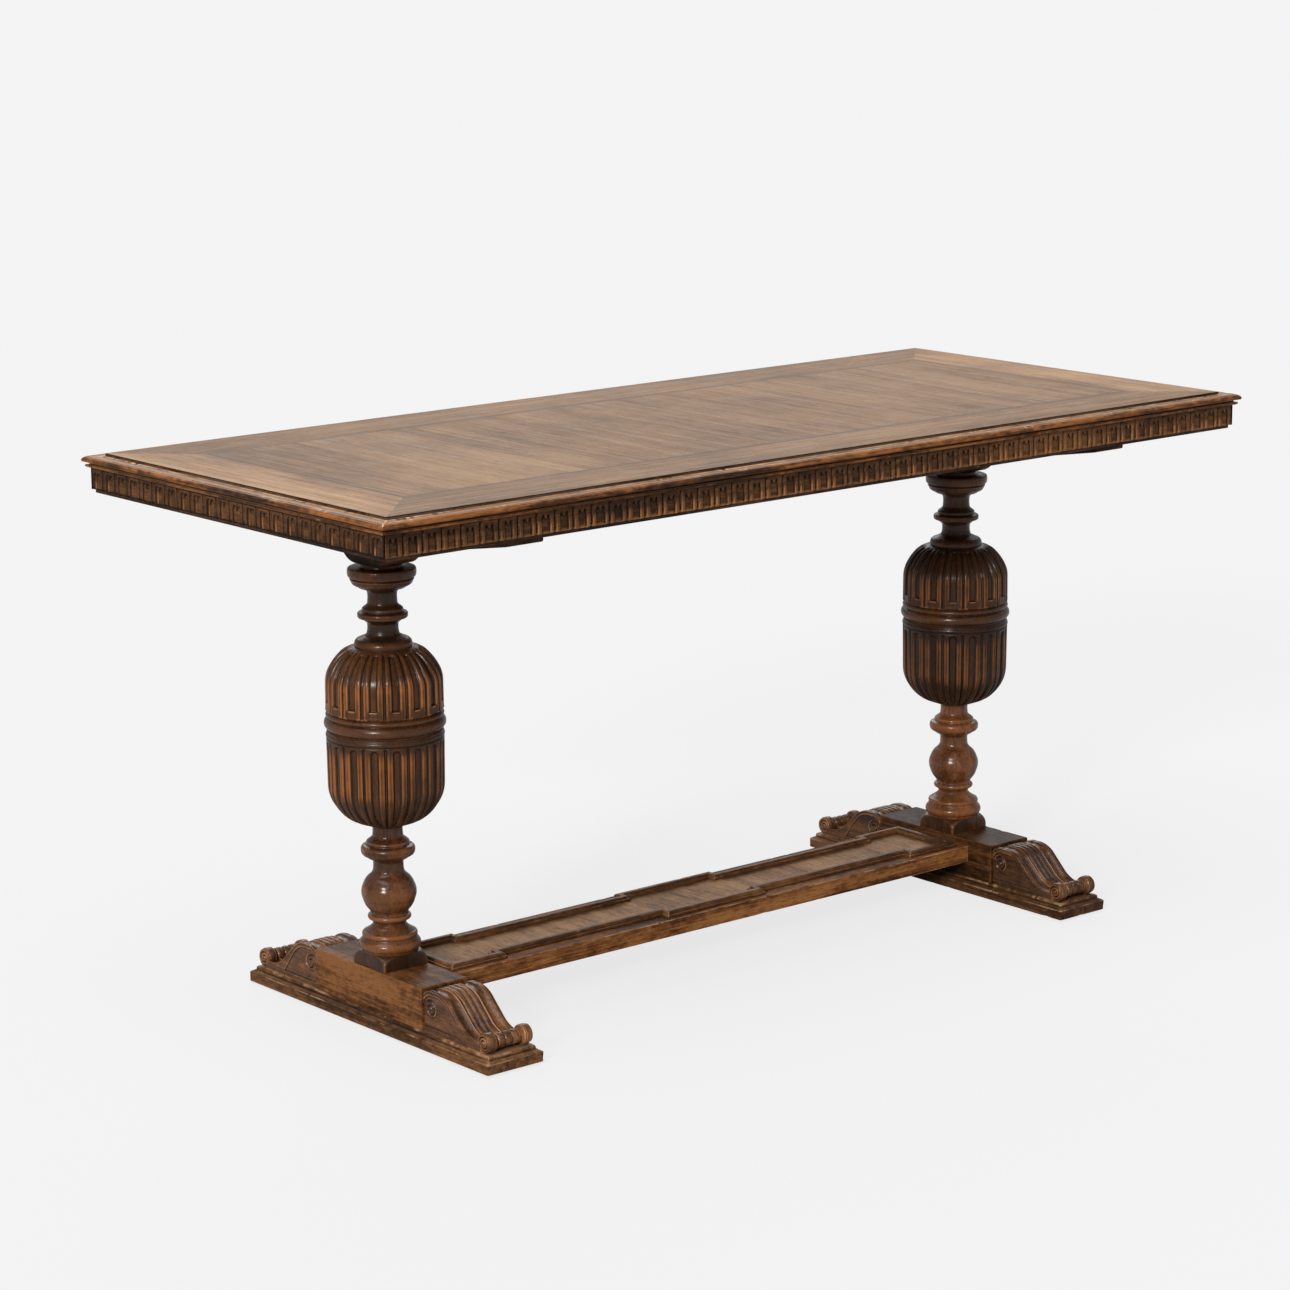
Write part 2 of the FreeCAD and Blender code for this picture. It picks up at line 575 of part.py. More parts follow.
def panel_corners():
    """Corners of the panel moulding's outer line on the front half, from left to right."""
    end = STRETCHER_HALF - PANEL_END_GAP
    jog = STRETCHER_HALF - PANEL_END_LENGTH
    middle = PANEL_MIDDLE_HALF
    wide, narrow = -PANEL_WIDE_HALF, -PANEL_NARROW_HALF
    return [(-end, wide), (-jog, wide), (-jog, narrow), (-middle, narrow), (-middle, wide),
            (middle, wide), (middle, narrow), (jog, narrow), (jog, wide), (end, wide)]


def panel_run(before, start, end, after):
    """One straight length of the panel moulding from corner start to corner end, inside on the
    left of the way it runs, mitred to the lengths that come before and after it."""
    width = PANEL_MOULD_WIDTH
    length = math.hypot(end[0] - start[0], end[1] - start[1])
    way = ((end[0] - start[0]) / length, (end[1] - start[1]) / length)
    inward = (-way[1], way[0])

    def turn(a, b, c):
        return math.copysign(1, (b[0] - a[0]) * (c[1] - b[1]) - (b[1] - a[1]) * (c[0] - b[0]))

    def spot(point, forward):
        return (point[0] + inward[0] * width + way[0] * forward,
                point[1] + inward[1] * width + way[1] * forward, 0)

    corners = [(start[0], start[1], 0), (end[0], end[1], 0),
               spot(end, -width * turn(start, end, after)), spot(start, width * turn(before, start, end))]
    trim = prism(corners, plan(STRETCHER_TOP), Vector(0, 0, PANEL_MOULD_HEIGHT))
    back = width + 1

    def place(inset, height):
        return Vector(start[0] + inward[0] * inset - way[0] * back,
                      start[1] + inward[1] * inset - way[1] * back, STRETCHER_TOP + height)

    run = Vector(way[0] * (length + 2 * back), way[1] * (length + 2 * back), 0)
    return prism(panel_section(), place, run).common(trim)


def panel_mouldings():
    """Every length of the jogged panel moulding, in order round the stretcher."""
    front = panel_corners()
    loop = front + [(-x, -y) for x, y in front]
    count = len(loop)
    runs = []
    for i in range(count):
        runs.append(panel_run(loop[i - 1], loop[i], loop[(i + 1) % count], loop[(i + 2) % count]))
    pieces = {}
    names = ["outer_left", "", "inner_left", "", "middle", "", "inner_right", "", "outer_right"]
    returns = []
    for side, first, order in (("front", 0, names), ("back", len(front), names[::-1])):
        for number, name in enumerate(order):
            if name:
                pieces["panel_mould_" + side + "_" + name] = runs[first + number]
            else:
                returns.append(runs[first + number])
    pieces["panel_mould_right_end"] = runs[len(front) - 1]
    pieces["panel_mould_left_end"] = runs[count - 1]
    pieces["panel_mould_returns"] = Part.Compound(returns)
    return pieces


# ---------------------------------------------------------------- assembly
save("top_core", top_core())
for name, shape in veneers().items():
    save(name, shape)
for side, shape in edge_mouldings().items():
    save("edge_moulding_" + side, shape)
for side, shape in frieze_rails().items():
    save("frieze_" + side, shape)
for side, shape in frieze_fillets().items():
    save("frieze_fillet_" + side, shape)
save("corner_blocks", corner_blocks())
save("floor_pads", floor_pads())
save("stretcher_board", stretcher_board())
for name, shape in panel_mouldings().items():
    save(name, shape)

block_screws = foot_screws()
under_screws = bearer_screws()
save("wood_screws", Part.Compound([screw(*place) for place in under_screws + block_screws]))

pillar = {
    "plinth": pillar_plinth(),
    "lower": pillar_lower(),
    "cup": pillar_cup(),
    "band": pillar_band(),
    "cover": pillar_cover(),
    "upper": pillar_upper(),
    "dowel": pillar_dowel(),
}
for side, x in (("left", -LEG_X), ("right", LEG_X)):
    for name, shape in pillar.items():
        save("pillar_" + side + "_" + name, moved(shape, x))
    holes = [screw_hole(*place, BEARER_UNDERSIDE - 1) for place in under_screws if place[0] == x]
    save("bearer_" + side, moved(bearer(), x).cut(holes))
    block = foot_block() if side == "left" else half_turned(foot_block())
    front_scroll = scroll_bracket()
    pieces = {
        "base": foot_board(),
        "block": block,
        "scroll_front": front_scroll,
        "scroll_back": half_turned(front_scroll),
    }
    holes = [screw_hole(*place, PAD_THICKNESS - 1) for place in block_screws if place[0] == x]
    for name, shape in pieces.items():
        save("foot_" + side + "_" + name, moved(shape, x).cut(holes))
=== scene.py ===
import math
import random

import bmesh
import bpy
import numpy as np
from mathutils import Matrix, Vector


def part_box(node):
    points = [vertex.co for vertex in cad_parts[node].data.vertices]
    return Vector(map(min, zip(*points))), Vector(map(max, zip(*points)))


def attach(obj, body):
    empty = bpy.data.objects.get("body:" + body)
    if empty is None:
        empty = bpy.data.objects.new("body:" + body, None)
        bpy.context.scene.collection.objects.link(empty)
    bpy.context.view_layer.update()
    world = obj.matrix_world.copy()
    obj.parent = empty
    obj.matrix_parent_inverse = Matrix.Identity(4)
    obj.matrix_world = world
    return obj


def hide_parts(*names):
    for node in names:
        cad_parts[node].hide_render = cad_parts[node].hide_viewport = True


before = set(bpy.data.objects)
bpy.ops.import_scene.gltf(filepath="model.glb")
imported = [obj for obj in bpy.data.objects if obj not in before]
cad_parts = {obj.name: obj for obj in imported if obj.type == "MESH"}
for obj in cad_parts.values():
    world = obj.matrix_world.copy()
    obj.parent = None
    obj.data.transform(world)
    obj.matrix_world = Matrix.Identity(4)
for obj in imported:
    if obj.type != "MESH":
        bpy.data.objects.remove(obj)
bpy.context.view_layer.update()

# A communion table in stained and polished oak. Metres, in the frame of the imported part: origin on
# the floor under the middle of the top, +X along the length, -Y the front, +Z up.

MM = 0.001

# ---------------------------------------------------------------- viewpoint and studio
CAMERA_PLACE = (-3.344, -3.911, 1.573)
CAMERA_YAW = math.radians(39.86)         # turned from +Y towards +X
CAMERA_DIP = math.radians(12.40)         # tipped below the level
CAMERA_LEAN = math.radians(-0.44)        # leaned about its own axis
CAMERA_LENS = 104.4
FLOOR_HALF = 60.0
FLOOR_LEVEL = -0.3 * MM                  # just under the pads

# ---------------------------------------------------------------- carving and edges
SOFTENING = 0.5 * MM                     # round that hand and polish leave on every edge
TURNING_STEPS = 144                      # round a plain turning
FLUTES = 16                              # round the bulb
STEPS_PER_FLUTE = 44
FIRST_FLUTE = math.radians(9.24)         # where the flutes start, turned from +X towards +Y
CUP_RUBBED = (45.0 * MM, 105.0 * MM)     # heights between which the cup is rubbed most
COVER_RUBBED = (2.0 * MM, 48.0 * MM)
TONGUE_PITCH = 29.5 * MM                 # wanted width of one carved tongue of the frieze
LEAF_WIDTH = 154.0 * MM                  # one leaf of the field's veneer
JOG_OUTER = 377.0 * MM                   # where the stretcher's moulding jogs, from the middle
JOG_INNER = 92.0 * MM
PANEL_WIDE = 62.5 * MM                   # outer edge of that moulding, where it stands wide
PANEL_NARROW = 50.0 * MM

RAIL_THICKNESS = 20.0 * MM
TENON_LENGTH = 20.0 * MM                 # hidden end of the stretcher in a foot's block
SCROLL_BODY = 124.0 * MM                 # drawn length of a scroll's body, and with its roll
SCROLL_REACH = 142.8 * MM
ROLL_RADIUS = 13.4 * MM

# ---------------------------------------------------------------- wear
NEAR_ROUNDS = 3                          # rounds of smoothing that give near and wide surroundings
WIDE_ROUNDS = 26
WORN_FROM = 0.10 * MM                    # standing out of the near surroundings that is fully worn
PROUD_FROM = 0.6 * MM                    # and out of the wide ones that is fully rubbed
ARRIS = 0.045 * MM                       # standing out that makes a point part of an edge

SIDES = ("front", "right", "back", "left")
WAYS = (("long sides", "x"), ("ends", "y"))
QUARTERS = ((1, 1), (-1, 1), (-1, -1), (1, -1))

# ---------------------------------------------------------------- stains and wear, with painted shade and sheen, linear colours
DARKEST_BROWN = (0.010, 0.0055, 0.0035)
DARK_STAIN = (0.030, 0.013, 0.006)
BROWN_STAIN = (0.075, 0.032, 0.013)
WORN_ORANGE = (0.300, 0.115, 0.034)
WORN_PALE = (0.480, 0.290, 0.160)
BLEACH_AND_SHEEN_BEIGE = (0.270, 0.175, 0.115)
LINE_SHADE = (0.110, 0.075, 0.055)


# ================================================================ shader writing
class Signal:
    """A shader socket that is worked with as if it were a number."""

    def __init__(self, finish, socket):
        self.finish = finish
        self.socket = socket

    def maths(self, operation, first, second=0.0):
        return self.finish.add("ShaderNodeMath", {"operation": operation}, {0: first, 1: second})

    def __add__(self, other):
        return self.maths("ADD", self, other)

    def __sub__(self, other):
        return self.maths("SUBTRACT", self, other)

    def __rsub__(self, other):
        return self.maths("SUBTRACT", other, self)

    def __mul__(self, other):
        return self.maths("MULTIPLY", self, other)

    def __truediv__(self, other):
        return self.maths("DIVIDE", self, other)

    def __abs__(self):
        return self.maths("ABSOLUTE", self)

    __radd__ = __add__
    __rmul__ = __mul__

    def floor(self):
        return self.maths("FLOOR", self)

    def greater(self, other):
        return self.maths("MAXIMUM", self, other)

    def lesser(self, other):
        return self.maths("MINIMUM", self, other)

    def fade(self, low, high):
        """0 below low, 1 above high and a smooth rise between; low may be the higher one."""
        settings = {"interpolation_type": "SMOOTHSTEP"}
        if low > high:
            limits = {0: self, 1: high, 2: low, 3: 1.0, 4: 0.0}
        else:
            limits = {0: self, 1: low, 2: high, 3: 0.0, 4: 1.0}
        return self.finish.add("ShaderNodeMapRange", settings, limits)


class Finish:
    """A material that is being written, and the signals that every finish starts from."""

    def __init__(self, name, board=0.0):
        self.material = bpy.data.materials.new(name)
        self.material.use_nodes = True
        self.tree = self.material.node_tree
        self.tree.nodes.clear()
        self.worn, self.sunk, self.proud, own = [
            self.add("ShaderNodeAttribute", {"attribute_name": kept}, {}, "Fac")
            for kept in ("worn", "sunk", "proud", "board")]
        own = own + board
        self.place = self.add("ShaderNodeTexCoord", {}, {}, "Object")
        away = self.add("ShaderNodeCombineXYZ", {}, {0: own * 3.17, 1: own * 5.71, 2: own * 7.93})
        self.grained = self.vector("ADD", self.place, away)

    def add(self, kind, settings, sockets, output=0):
        """A node of that kind with its settings made first, then the values or links of its
        sockets, given back as the signal of one output."""
        node = self.tree.nodes.new(kind)
        for setting, value in settings.items():
            if setting == "stops":
                self.set_stops(node.color_ramp, value)
            else:
                setattr(node, setting, value)
        for key, value in sockets.items():
            if isinstance(value, Signal):
                self.tree.links.new(value.socket, node.inputs[key])
            else:
                node.inputs[key].default_value = value
        return None if output is None else Signal(self, node.outputs[output])

    def set_stops(self, ramp, stops):
        while len(ramp.elements) < len(stops):
            ramp.elements.new(0.5)
        for element, (position, colour) in zip(ramp.elements, stops):
            element.position = position
            element.color = (*colour, 1.0)

    def axis(self, vector, number):
        return self.add("ShaderNodeSeparateXYZ", {}, {0: vector}, number)

    def upward(self):
        """How far the surface faces up, -1 to 1."""
        return self.axis(self.add("ShaderNodeNewGeometry", {}, {}, "Normal"), 2)

    def vector(self, operation, first, second):
        return self.add("ShaderNodeVectorMath", {"operation": operation}, {0: first, 1: second})

    def noise(self, scales, detail=2.0, roughness=0.5, distortion=0.0, place=None):
        """Noise from about 0 to 1, finer by scales (per metre along X, Y and Z)."""
        stretched = self.vector("MULTIPLY", place or self.grained, scales)
        values = {"Vector": stretched, "Scale": 1.0, "Detail": detail, "Roughness": roughness,
                  "Distortion": distortion}
        return self.add("ShaderNodeTexNoise", {}, values, 0)

    def mix(self, share, first, second):
        """The first colour going over to the second by that share."""
        first, second = [c if isinstance(c, Signal) else (*c, 1.0) for c in (first, second)]
        return self.add("ShaderNodeMix", {"data_type": "RGBA"}, {0: share, 6: first, 7: second}, 2)

    def ramp(self, share, stops):
        return self.add("ShaderNodeValToRGB", {"stops": stops}, {0: share})

    def surface(self, colour, roughness, height, depth, constants):
        """Principled surface with a bump of that depth, and constant sockets by name."""
        normal = self.add("ShaderNodeBump", {}, {"Strength": 1.0, "Distance": depth, "Height": height})
        values = {"Base Color": colour, "Roughness": roughness, "Normal": normal, **constants}
        shader = self.add("ShaderNodeBsdfPrincipled", {}, values)
        self.add("ShaderNodeOutputMaterial", {}, {"Surface": shader}, None)
        return self.material


def stretch(grain, along, across):
    """Scales per metre for a pattern drawn out along one axis."""
    return tuple(along if axis == grain else across for axis in "xyz")


# ================================================================ finishes
def wood(finish, grain, tones, contrast):
    """Colour of sound stained oak along one axis, from the darkest to the lightest of tones, and
    the height of its pores and fibres."""
    rings = finish.noise(stretch(grain, 2.4, 46.0), 4.0, 0.55, 0.35)
    fibre = finish.noise(stretch(grain, 11.0, 420.0), 3.0, 0.6)
    pores = finish.noise(stretch(grain, 85.0, 1500.0), 1.0).fade(0.56, 0.70)
    clouds = finish.noise(stretch(grain, 5.0, 9.0), 3.0, 0.55)
    mottle = finish.noise(stretch(grain, 70.0, 150.0), 3.0, 0.6)
    rays = finish.noise(stretch(grain, 60.0, 260.0), 1.0).fade(0.66, 0.74)
    varied = (rings - 0.5) * 1.3 + (fibre - 0.5) * 1.0 + (clouds - 0.5) * 1.4 + (mottle - 0.5) * 1.0
    colour = finish.ramp(0.5 + varied * contrast, list(zip((0.12, 0.5, 0.9), tones)))
    colour = finish.mix(pores * 0.5, colour, DARKEST_BROWN)
    colour = finish.mix(rays * 0.15, colour, tones[-1])
    return colour, fibre * 0.35 + mottle * 0.2 + rings * 0.3 - pores * 0.8


def within_panel(finish):
    """How far inside the outer edge of the stretcher's jogged moulding a place lies."""
    x = abs(finish.axis(finish.place, 0))
    y = abs(finish.axis(finish.place, 1))
    wide = (x - JOG_OUTER).greater(JOG_INNER - x).fade(-0.5 * MM, 0.5 * MM)
    limit = PANEL_NARROW + wide * (PANEL_WIDE - PANEL_NARROW)
    return (limit - y).lesser(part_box("panel_mould_right_end")[1].x - x)


def oak(name, grain, tones, gloss=0.45, polish=0.0, wear=1.0, dirt_and_shade=0.85, rub=0.0, bleach_and_sheen=0.0,
        worn_to=WORN_ORANGE, bleach_and_sheen_to=BLEACH_AND_SHEEN_BEIGE, contrast=1.4, shine=0.18, panel=None):
    """Stained oak with its grain along one axis. tones run from the darkest to the lightest of the
    sound wood. Worn edges go on to worn_to, whatever stands proud is rubbed by that share,
    upward faces lighten, partly as real bleaching and partly as a painted sheen, and recesses
    fill with old wax and dirt, darkened also as painted shade. panel gives the tones of the
    stretcher's cross-grained field."""
    finish = Finish(name)
    clouds = finish.noise((7.0, 7.0, 7.0), 3.0, 0.55)
    smudge = finish.noise((60.0, 60.0, 60.0), 4.0, 0.65)
    patches = finish.noise((16.0, 16.0, 16.0), 3.0, 0.6)
    sound, height = wood(finish, grain, tones, contrast)
    if panel:
        inside = within_panel(finish)
        field, _ = wood(finish, "y", panel, 1.0)
        by_moulding = (inside + (smudge - 0.5) * 0.012).fade(30 * MM, 13 * MM)
        field = finish.mix(by_moulding * 0.6, field, DARKEST_BROWN)
        sound = finish.mix(inside.fade(-0.2 * MM, 0.2 * MM), sound, field)
        seam = (abs(inside) + (smudge - 0.5) * 0.003).fade(3.0 * MM, 0.8 * MM)
        sound = finish.mix(seam * 0.8, sound, DARKEST_BROWN)
    # Upward faces lighten towards a pale beige: partly real bleaching, partly a painted sheen from the
    # light above.
    if bleach_and_sheen:
        level = (finish.upward() + (smudge - 0.5) * 0.15).fade(0.84, 0.98)
        sound = finish.mix(level * bleach_and_sheen, sound, bleach_and_sheen_to)
    if rub:
        proud = (finish.proud + (clouds - 0.5) * 1.2 + (patches - 0.5) * 1.2).fade(0.25, 0.95) * rub
        sound = finish.mix(proud, sound, worn_to)
    rubbed = (finish.worn + (patches - 0.5) * 2.4 + (smudge - 0.5) * 1.6).fade(0.55, 1.15) * wear
    sound = finish.mix(rubbed, sound, worn_to)
    # Recesses darken towards the darkest brown: partly real dirt and old wax, partly painted shade where
    # less light reaches.
    filth_and_shade = (finish.sunk + (smudge - 0.5) * 0.5).fade(0.12, 0.95) * dirt_and_shade
    colour = finish.mix(filth_and_shade, sound, DARKEST_BROWN)
    roughness = gloss + (smudge - 0.5) * 0.22 + filth_and_shade * 0.2 - rubbed * 0.05
    return finish.surface(colour, roughness, height, 0.00018,
                          {"Specular IOR Level": shine, "Coat Weight": polish, "Coat Roughness": 0.20})


def veneer(name, grain, tones, leaf=None, board=0.0):
    """Dull old oak veneer: leaves of that width and varied tone laid side by side along X, fine
    cracks along the grain, rubbed patches and scratches, and a darker strip beside the stringing."""
    finish = Finish(name, board)
    if leaf:
        wobble = finish.noise((1.5, 1.5, 1.5), 1.0)
        number = (finish.axis(finish.place, 0) / leaf + 40.3 + (wobble - 0.5) * 0.02).floor()
        chance = finish.add("ShaderNodeTexWhiteNoise", {"noise_dimensions": "1D"}, {"W": number})
        away = finish.add("ShaderNodeCombineXYZ", {}, {0: chance * 9.0, 1: chance * 4.0, 2: number})
        finish.grained = finish.vector("ADD", finish.grained, away)
    rings = finish.noise(stretch(grain, 1.7, 30.0), 4.0, 0.55, 0.8)
    lines = finish.noise(stretch(grain, 3.0, 170.0), 3.0, 0.6, 0.2)
    fibre = finish.noise(stretch(grain, 16.0, 700.0), 3.0, 0.6)
    pores = finish.noise(stretch(grain, 70.0, 1300.0), 1.0).fade(0.57, 0.70)
    clouds = finish.noise((4.0, 4.0, 4.0), 3.0, 0.55, place=finish.place)
    rub = finish.noise((26.0, 26.0, 26.0), 5.0, 0.7, place=finish.place)
    cracks = finish.noise(stretch(grain, 7.0, 520.0), 1.0).fade(0.70, 0.76)
    marks = finish.noise((38.0, 210.0, 38.0), 1.0, place=finish.place).fade(0.73, 0.77)
    tone = 0.5 + (rings - 0.5) * 0.8 + (lines - 0.5) * 0.9 + (fibre - 0.5) * 1.3 + (clouds - 0.5) * 1.1
    if leaf:
        tone = tone + (chance - 0.5) * 0.24
    colour = finish.ramp(tone, list(zip((0.15, 0.5, 0.88), tones)))
    colour = finish.mix(pores * 0.35, colour, tones[0])
    colour = finish.mix(rub.fade(0.56, 0.78) * 0.30, colour, tones[2])
    colour = finish.mix(cracks * 0.6, colour, DARK_STAIN)
    colour = finish.mix(marks * 0.35, colour, WORN_PALE)
    far_x, far_y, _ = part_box("stringing")[1]
    x, y = finish.axis(finish.place, 0), finish.axis(finish.place, 1)
    from_line = abs((abs(x) - far_x).greater(abs(y) - far_y))
    beside = (from_line + (rub - 0.5) * 0.008).fade(0.012, 0.001)
    colour = finish.mix(beside * 0.45, colour, LINE_SHADE)
    # The veneer's faces turned sideways and down darken towards the darkest brown: painted shade along
    # the edges of the top.
    colour = finish.mix(finish.upward().fade(0.6, 0.3), colour, DARKEST_BROWN)
    roughness = 0.46 + (rub - 0.5) * 0.25 + (clouds - 0.5) * 0.15 + pores * 0.1
    height = fibre * 0.35 + lines * 0.3 - pores * 0.7 - cracks * 1.0
    return finish.surface(colour, roughness, height, 0.00015, {"Specular IOR Level": 0.10})


def felt(name):
    """Dark matted felt."""
    finish = Finish(name)
    fluff = finish.noise((900.0, 900.0, 900.0), 3.0, 0.7)
    colour = finish.ramp(fluff, [(0.3, (0.03, 0.028, 0.025)), (0.7, (0.09, 0.08, 0.075))])
    return finish.surface(colour, 0.9 + (fluff - 0.5) * 0.1, fluff, 0.0006, {"Sheen Weight": 0.3})


def dull_steel(name):
    """Dull, turned steel."""
    finish = Finish(name)
    turned = finish.noise((150.0, 150.0, 2200.0), 2.0)
    colour = finish.ramp(turned, [(0.3, (0.16, 0.15, 0.14)), (0.7, (0.34, 0.33, 0.31))])
    return finish.surface(colour, 0.42 + (turned - 0.5) * 0.3, turned, 0.0001, {"Metallic": 1.0})


# ================================================================ mesh making
def mesh_piece(name, points, faces, finish):
    """A smooth-shaded mesh object from points (n, 3) and faces, cleaned of doubled points."""
    mesh = bpy.data.meshes.new(name)
    mesh.from_pydata(np.asarray(points, float).tolist(), [], faces)
    work = bmesh.new()
    work.from_mesh(mesh)
    bmesh.ops.remove_doubles(work, verts=work.verts, dist=0.004 * MM)
    bmesh.ops.dissolve_degenerate(work, edges=work.edges, dist=0.004 * MM)
    bmesh.ops.recalc_face_normals(work, faces=work.faces)
    for face in work.faces:
        face.smooth = True
    work.to_mesh(mesh)
    work.free()
    piece = bpy.data.objects.new(name, mesh)
    bpy.context.scene.collection.objects.link(piece)
    piece.data.materials.append(finish)
    return piece


def ring_faces(rings, around):
    """Quads between closed rings of points laid one after another, with both ends closed."""
    faces = []
    for ring in range(rings - 1):
        low, high = ring * around, (ring + 1) * around
        for step in range(around):
            after = (step + 1) % around
            faces.append((low + step, low + after, high + after, high + step))
    faces.append(tuple(range(around))[::-1])
    faces.append(tuple((rings - 1) * around + step for step in range(around)))
    return faces


def rings_piece(name, rings, finish):
    """A closed piece skinned over rings (rings, around, 3)."""
    return joined_piece(name, [np.asarray(rings)], finish)


def joined_piece(name, stacks, finish):
    """One piece made of several closed skins."""
    points, faces = [], []
    for rings in stacks:
        first = sum(len(p) for p in points)
        points.append(rings.reshape(-1, 3))
        faces += [tuple(first + corner for corner in face) for face in ring_faces(*rings.shape[:2])]
    return mesh_piece(name, np.concatenate(points), faces, finish)


def traced(steps, spacing, closed=False):
    """Points along (a, b, bow) steps in millimetres, where bow is how far the middle of the
    stretch leading to that step stands out to the right of the way it runs. Given in metres."""
    points = [] if closed else [steps[0][:2]]
    before = steps[-1:] + steps[:-1] if closed else steps[:-1]
    for (a0, b0, _), (a1, b1, bow) in zip(before, steps if closed else steps[1:]):
        run = math.hypot(a1 - a0, b1 - b0)
        count = max(1, math.ceil(run / spacing))
        if abs(bow) < 1e-9:
            for i in range(1, count + 1):
                points.append((a0 + (a1 - a0) * i / count, b0 + (b1 - b0) * i / count))
            continue
        radius = (run * run / 4 + bow * bow) / (2 * bow)
        right = ((b1 - b0) / run, -(a1 - a0) / run)
        middle = ((a0 + a1) / 2 + right[0] * (bow - radius), (b0 + b1) / 2 + right[1] * (bow - radius))
        start = math.atan2(b0 - middle[1], a0 - middle[0])
        sweep = 4 * math.atan2(bow, run / 2)
        count = max(2, math.ceil(abs(radius * sweep) / spacing))
        for i in range(1, count + 1):
            angle = start + sweep * i / count
            points.append((middle[0] + abs(radius) * math.cos(angle),
                           middle[1] + abs(radius) * math.sin(angle)))
    return np.array(points) * MM


def eased(points, width, closed=False):
    """The same outline with its corners softened over that width, its ends kept."""
    count = len(points)
    spacing = np.median(np.linalg.norm(np.diff(points, axis=0), axis=1))
    rounds = max(1, int(round((width / spacing) ** 2)))
    eased_points = points.copy()
    for _ in range(rounds):
        if closed:
            mean = (np.roll(eased_points, 1, 0) + np.roll(eased_points, -1, 0)) / 2
            eased_points = (eased_points + mean) / 2
        else:
            mean = (eased_points[:-2] + eased_points[2:]) / 2
            eased_points[1:-1] = (eased_points[1:-1] + mean) / 2
    return eased_points


def set_value(piece, name, values):
    """Writes one number for each point, for the shaders to read."""
    attribute = piece.data.attributes.new(name, "FLOAT", "POINT")
    attribute.data.foreach_set("value", np.asarray(values, np.float32))


def point_arrays(piece):
    """Places and normals of a piece's points, and the pairs of points its edges join."""
    mesh = piece.data
    count = len(mesh.vertices)
    places = np.empty(count * 3)
    mesh.vertices.foreach_get("co", places)
    normals = np.empty(count * 3)
    mesh.vertices.foreach_get("normal", normals)
    edges = np.empty(len(mesh.edges) * 2, int)
    mesh.edges.foreach_get("vertices", edges)
    return places.reshape(-1, 3), normals.reshape(-1, 3), edges.reshape(-1, 2)


def heights_on(piece, node):
    """Height of each point of a piece above the foot of its CAD node."""
    return point_arrays(piece)[0][:, 2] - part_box(node)[0].z


def neighbour_mean(values, edges, counts):
    """Mean over each point's neighbours of values (n, k)."""
    total = np.empty_like(values)
    for column in range(values.shape[1]):
        one, two = values[edges[:, 0], column], values[edges[:, 1], column]
        total[:, column] = (np.bincount(edges[:, 0], two, len(values))
                            + np.bincount(edges[:, 1], one, len(values)))
    return total / counts[:, None]


def standing_out(piece, rounds):
    """How far each point of a piece stands out of its surroundings, taken wider with every
    number of rounds."""
    places, normals, edges = point_arrays(piece)
    counts = np.maximum(np.bincount(edges.ravel(), minlength=len(places)), 1)
    spread = places.copy()
    found = []
    for done in range(1, max(rounds) + 1):
        spread = (spread + neighbour_mean(spread, edges, counts)) / 2
        if done in rounds:
            found.append(np.einsum("ij,ij->i", places - spread, normals))
    return found


def finished(piece, node, board, deep=0.6 * MM, rounds=25, favoured=1.0):
    """Puts a piece in the place of its CAD node, marked where hands and cloths rub it and where
    dirt settles and shade is painted: worn is how far a point stands out of its near surroundings,
    proud how far it stands out of its widest ones, and sunk how far it lies below those taken that
    many rounds wide, 1 at the depth given. favoured scales the rubbing point by point."""
    near, middle, wide = standing_out(piece, (NEAR_ROUNDS, rounds, WIDE_ROUNDS))
    set_value(piece, "worn", np.clip(near / WORN_FROM, 0, 1) * favoured)
    set_value(piece, "sunk", np.clip(-middle / deep, 0, 1))
    set_value(piece, "proud", np.clip(wide / PROUD_FROM, 0, 1) * favoured)
    set_value(piece, "board", np.full(len(near), board))
    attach(piece, "root")
    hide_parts(node)
    return piece


# ================================================================ turned work
def turned_outline(node, steps):
    """Outline (radius, z) of a turning, stretched to the height of its CAD node."""
    low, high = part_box(node)
    outline = eased(traced(steps, 0.7), SOFTENING)
    outline[:, 1] = low.z + outline[:, 1] * (high.z - low.z) / (steps[-1][1] * MM)
    return outline


def leg_x(node):
    """Where the axis of a pillar's piece stands along the table."""
    low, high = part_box(node)
    return (low.x + high.x) / 2


def turning(node, steps, finish, board):
    """A plain turning, very slightly out of true, as old wood is."""
    outline = turned_outline(node, steps)
    angle = np.linspace(0, 2 * math.pi, TURNING_STEPS, endpoint=False) + board
    radius = outline[:, 0, None] * (1 - 0.004 * (1 + np.cos(2 * angle))[None, :])
    rings = np.stack([leg_x(node) + radius * np.cos(angle), radius * np.sin(angle),
                      np.repeat(outline[:, 1, None], len(angle), 1)], 2)
    return finished(rings_piece(node + "_turned", rings, finish), node, board, 1.1 * MM)


def dished(inside, steepness=2.4):
    """Section of a gouge cut: 0 at its edge, 1 over most of its width. inside is 0 at the edge
    and 1 on the middle line."""
    return np.sin(np.clip(inside * steepness, 0, 1) * math.pi / 2)


def ramped(values, low, high):
    """0 at low, 1 at high and a smooth rise between; low may be the higher one."""
    share = np.clip((values - low) / (high - low), 0, 1)
    return share * share * (3 - 2 * share)


def quirk_depth(share):
    """Depth of the sunk quirk between two flute panels, with the thin ridge left down its middle.
    share is how far round from the middle of a flute towards the next, 0 to 0.5."""
    inside = (share - 0.405) / 0.095
    return 2.9 * MM * ramped(inside, 0.0, 0.62) - 1.5 * MM * ramped(inside, 0.78, 1.0)


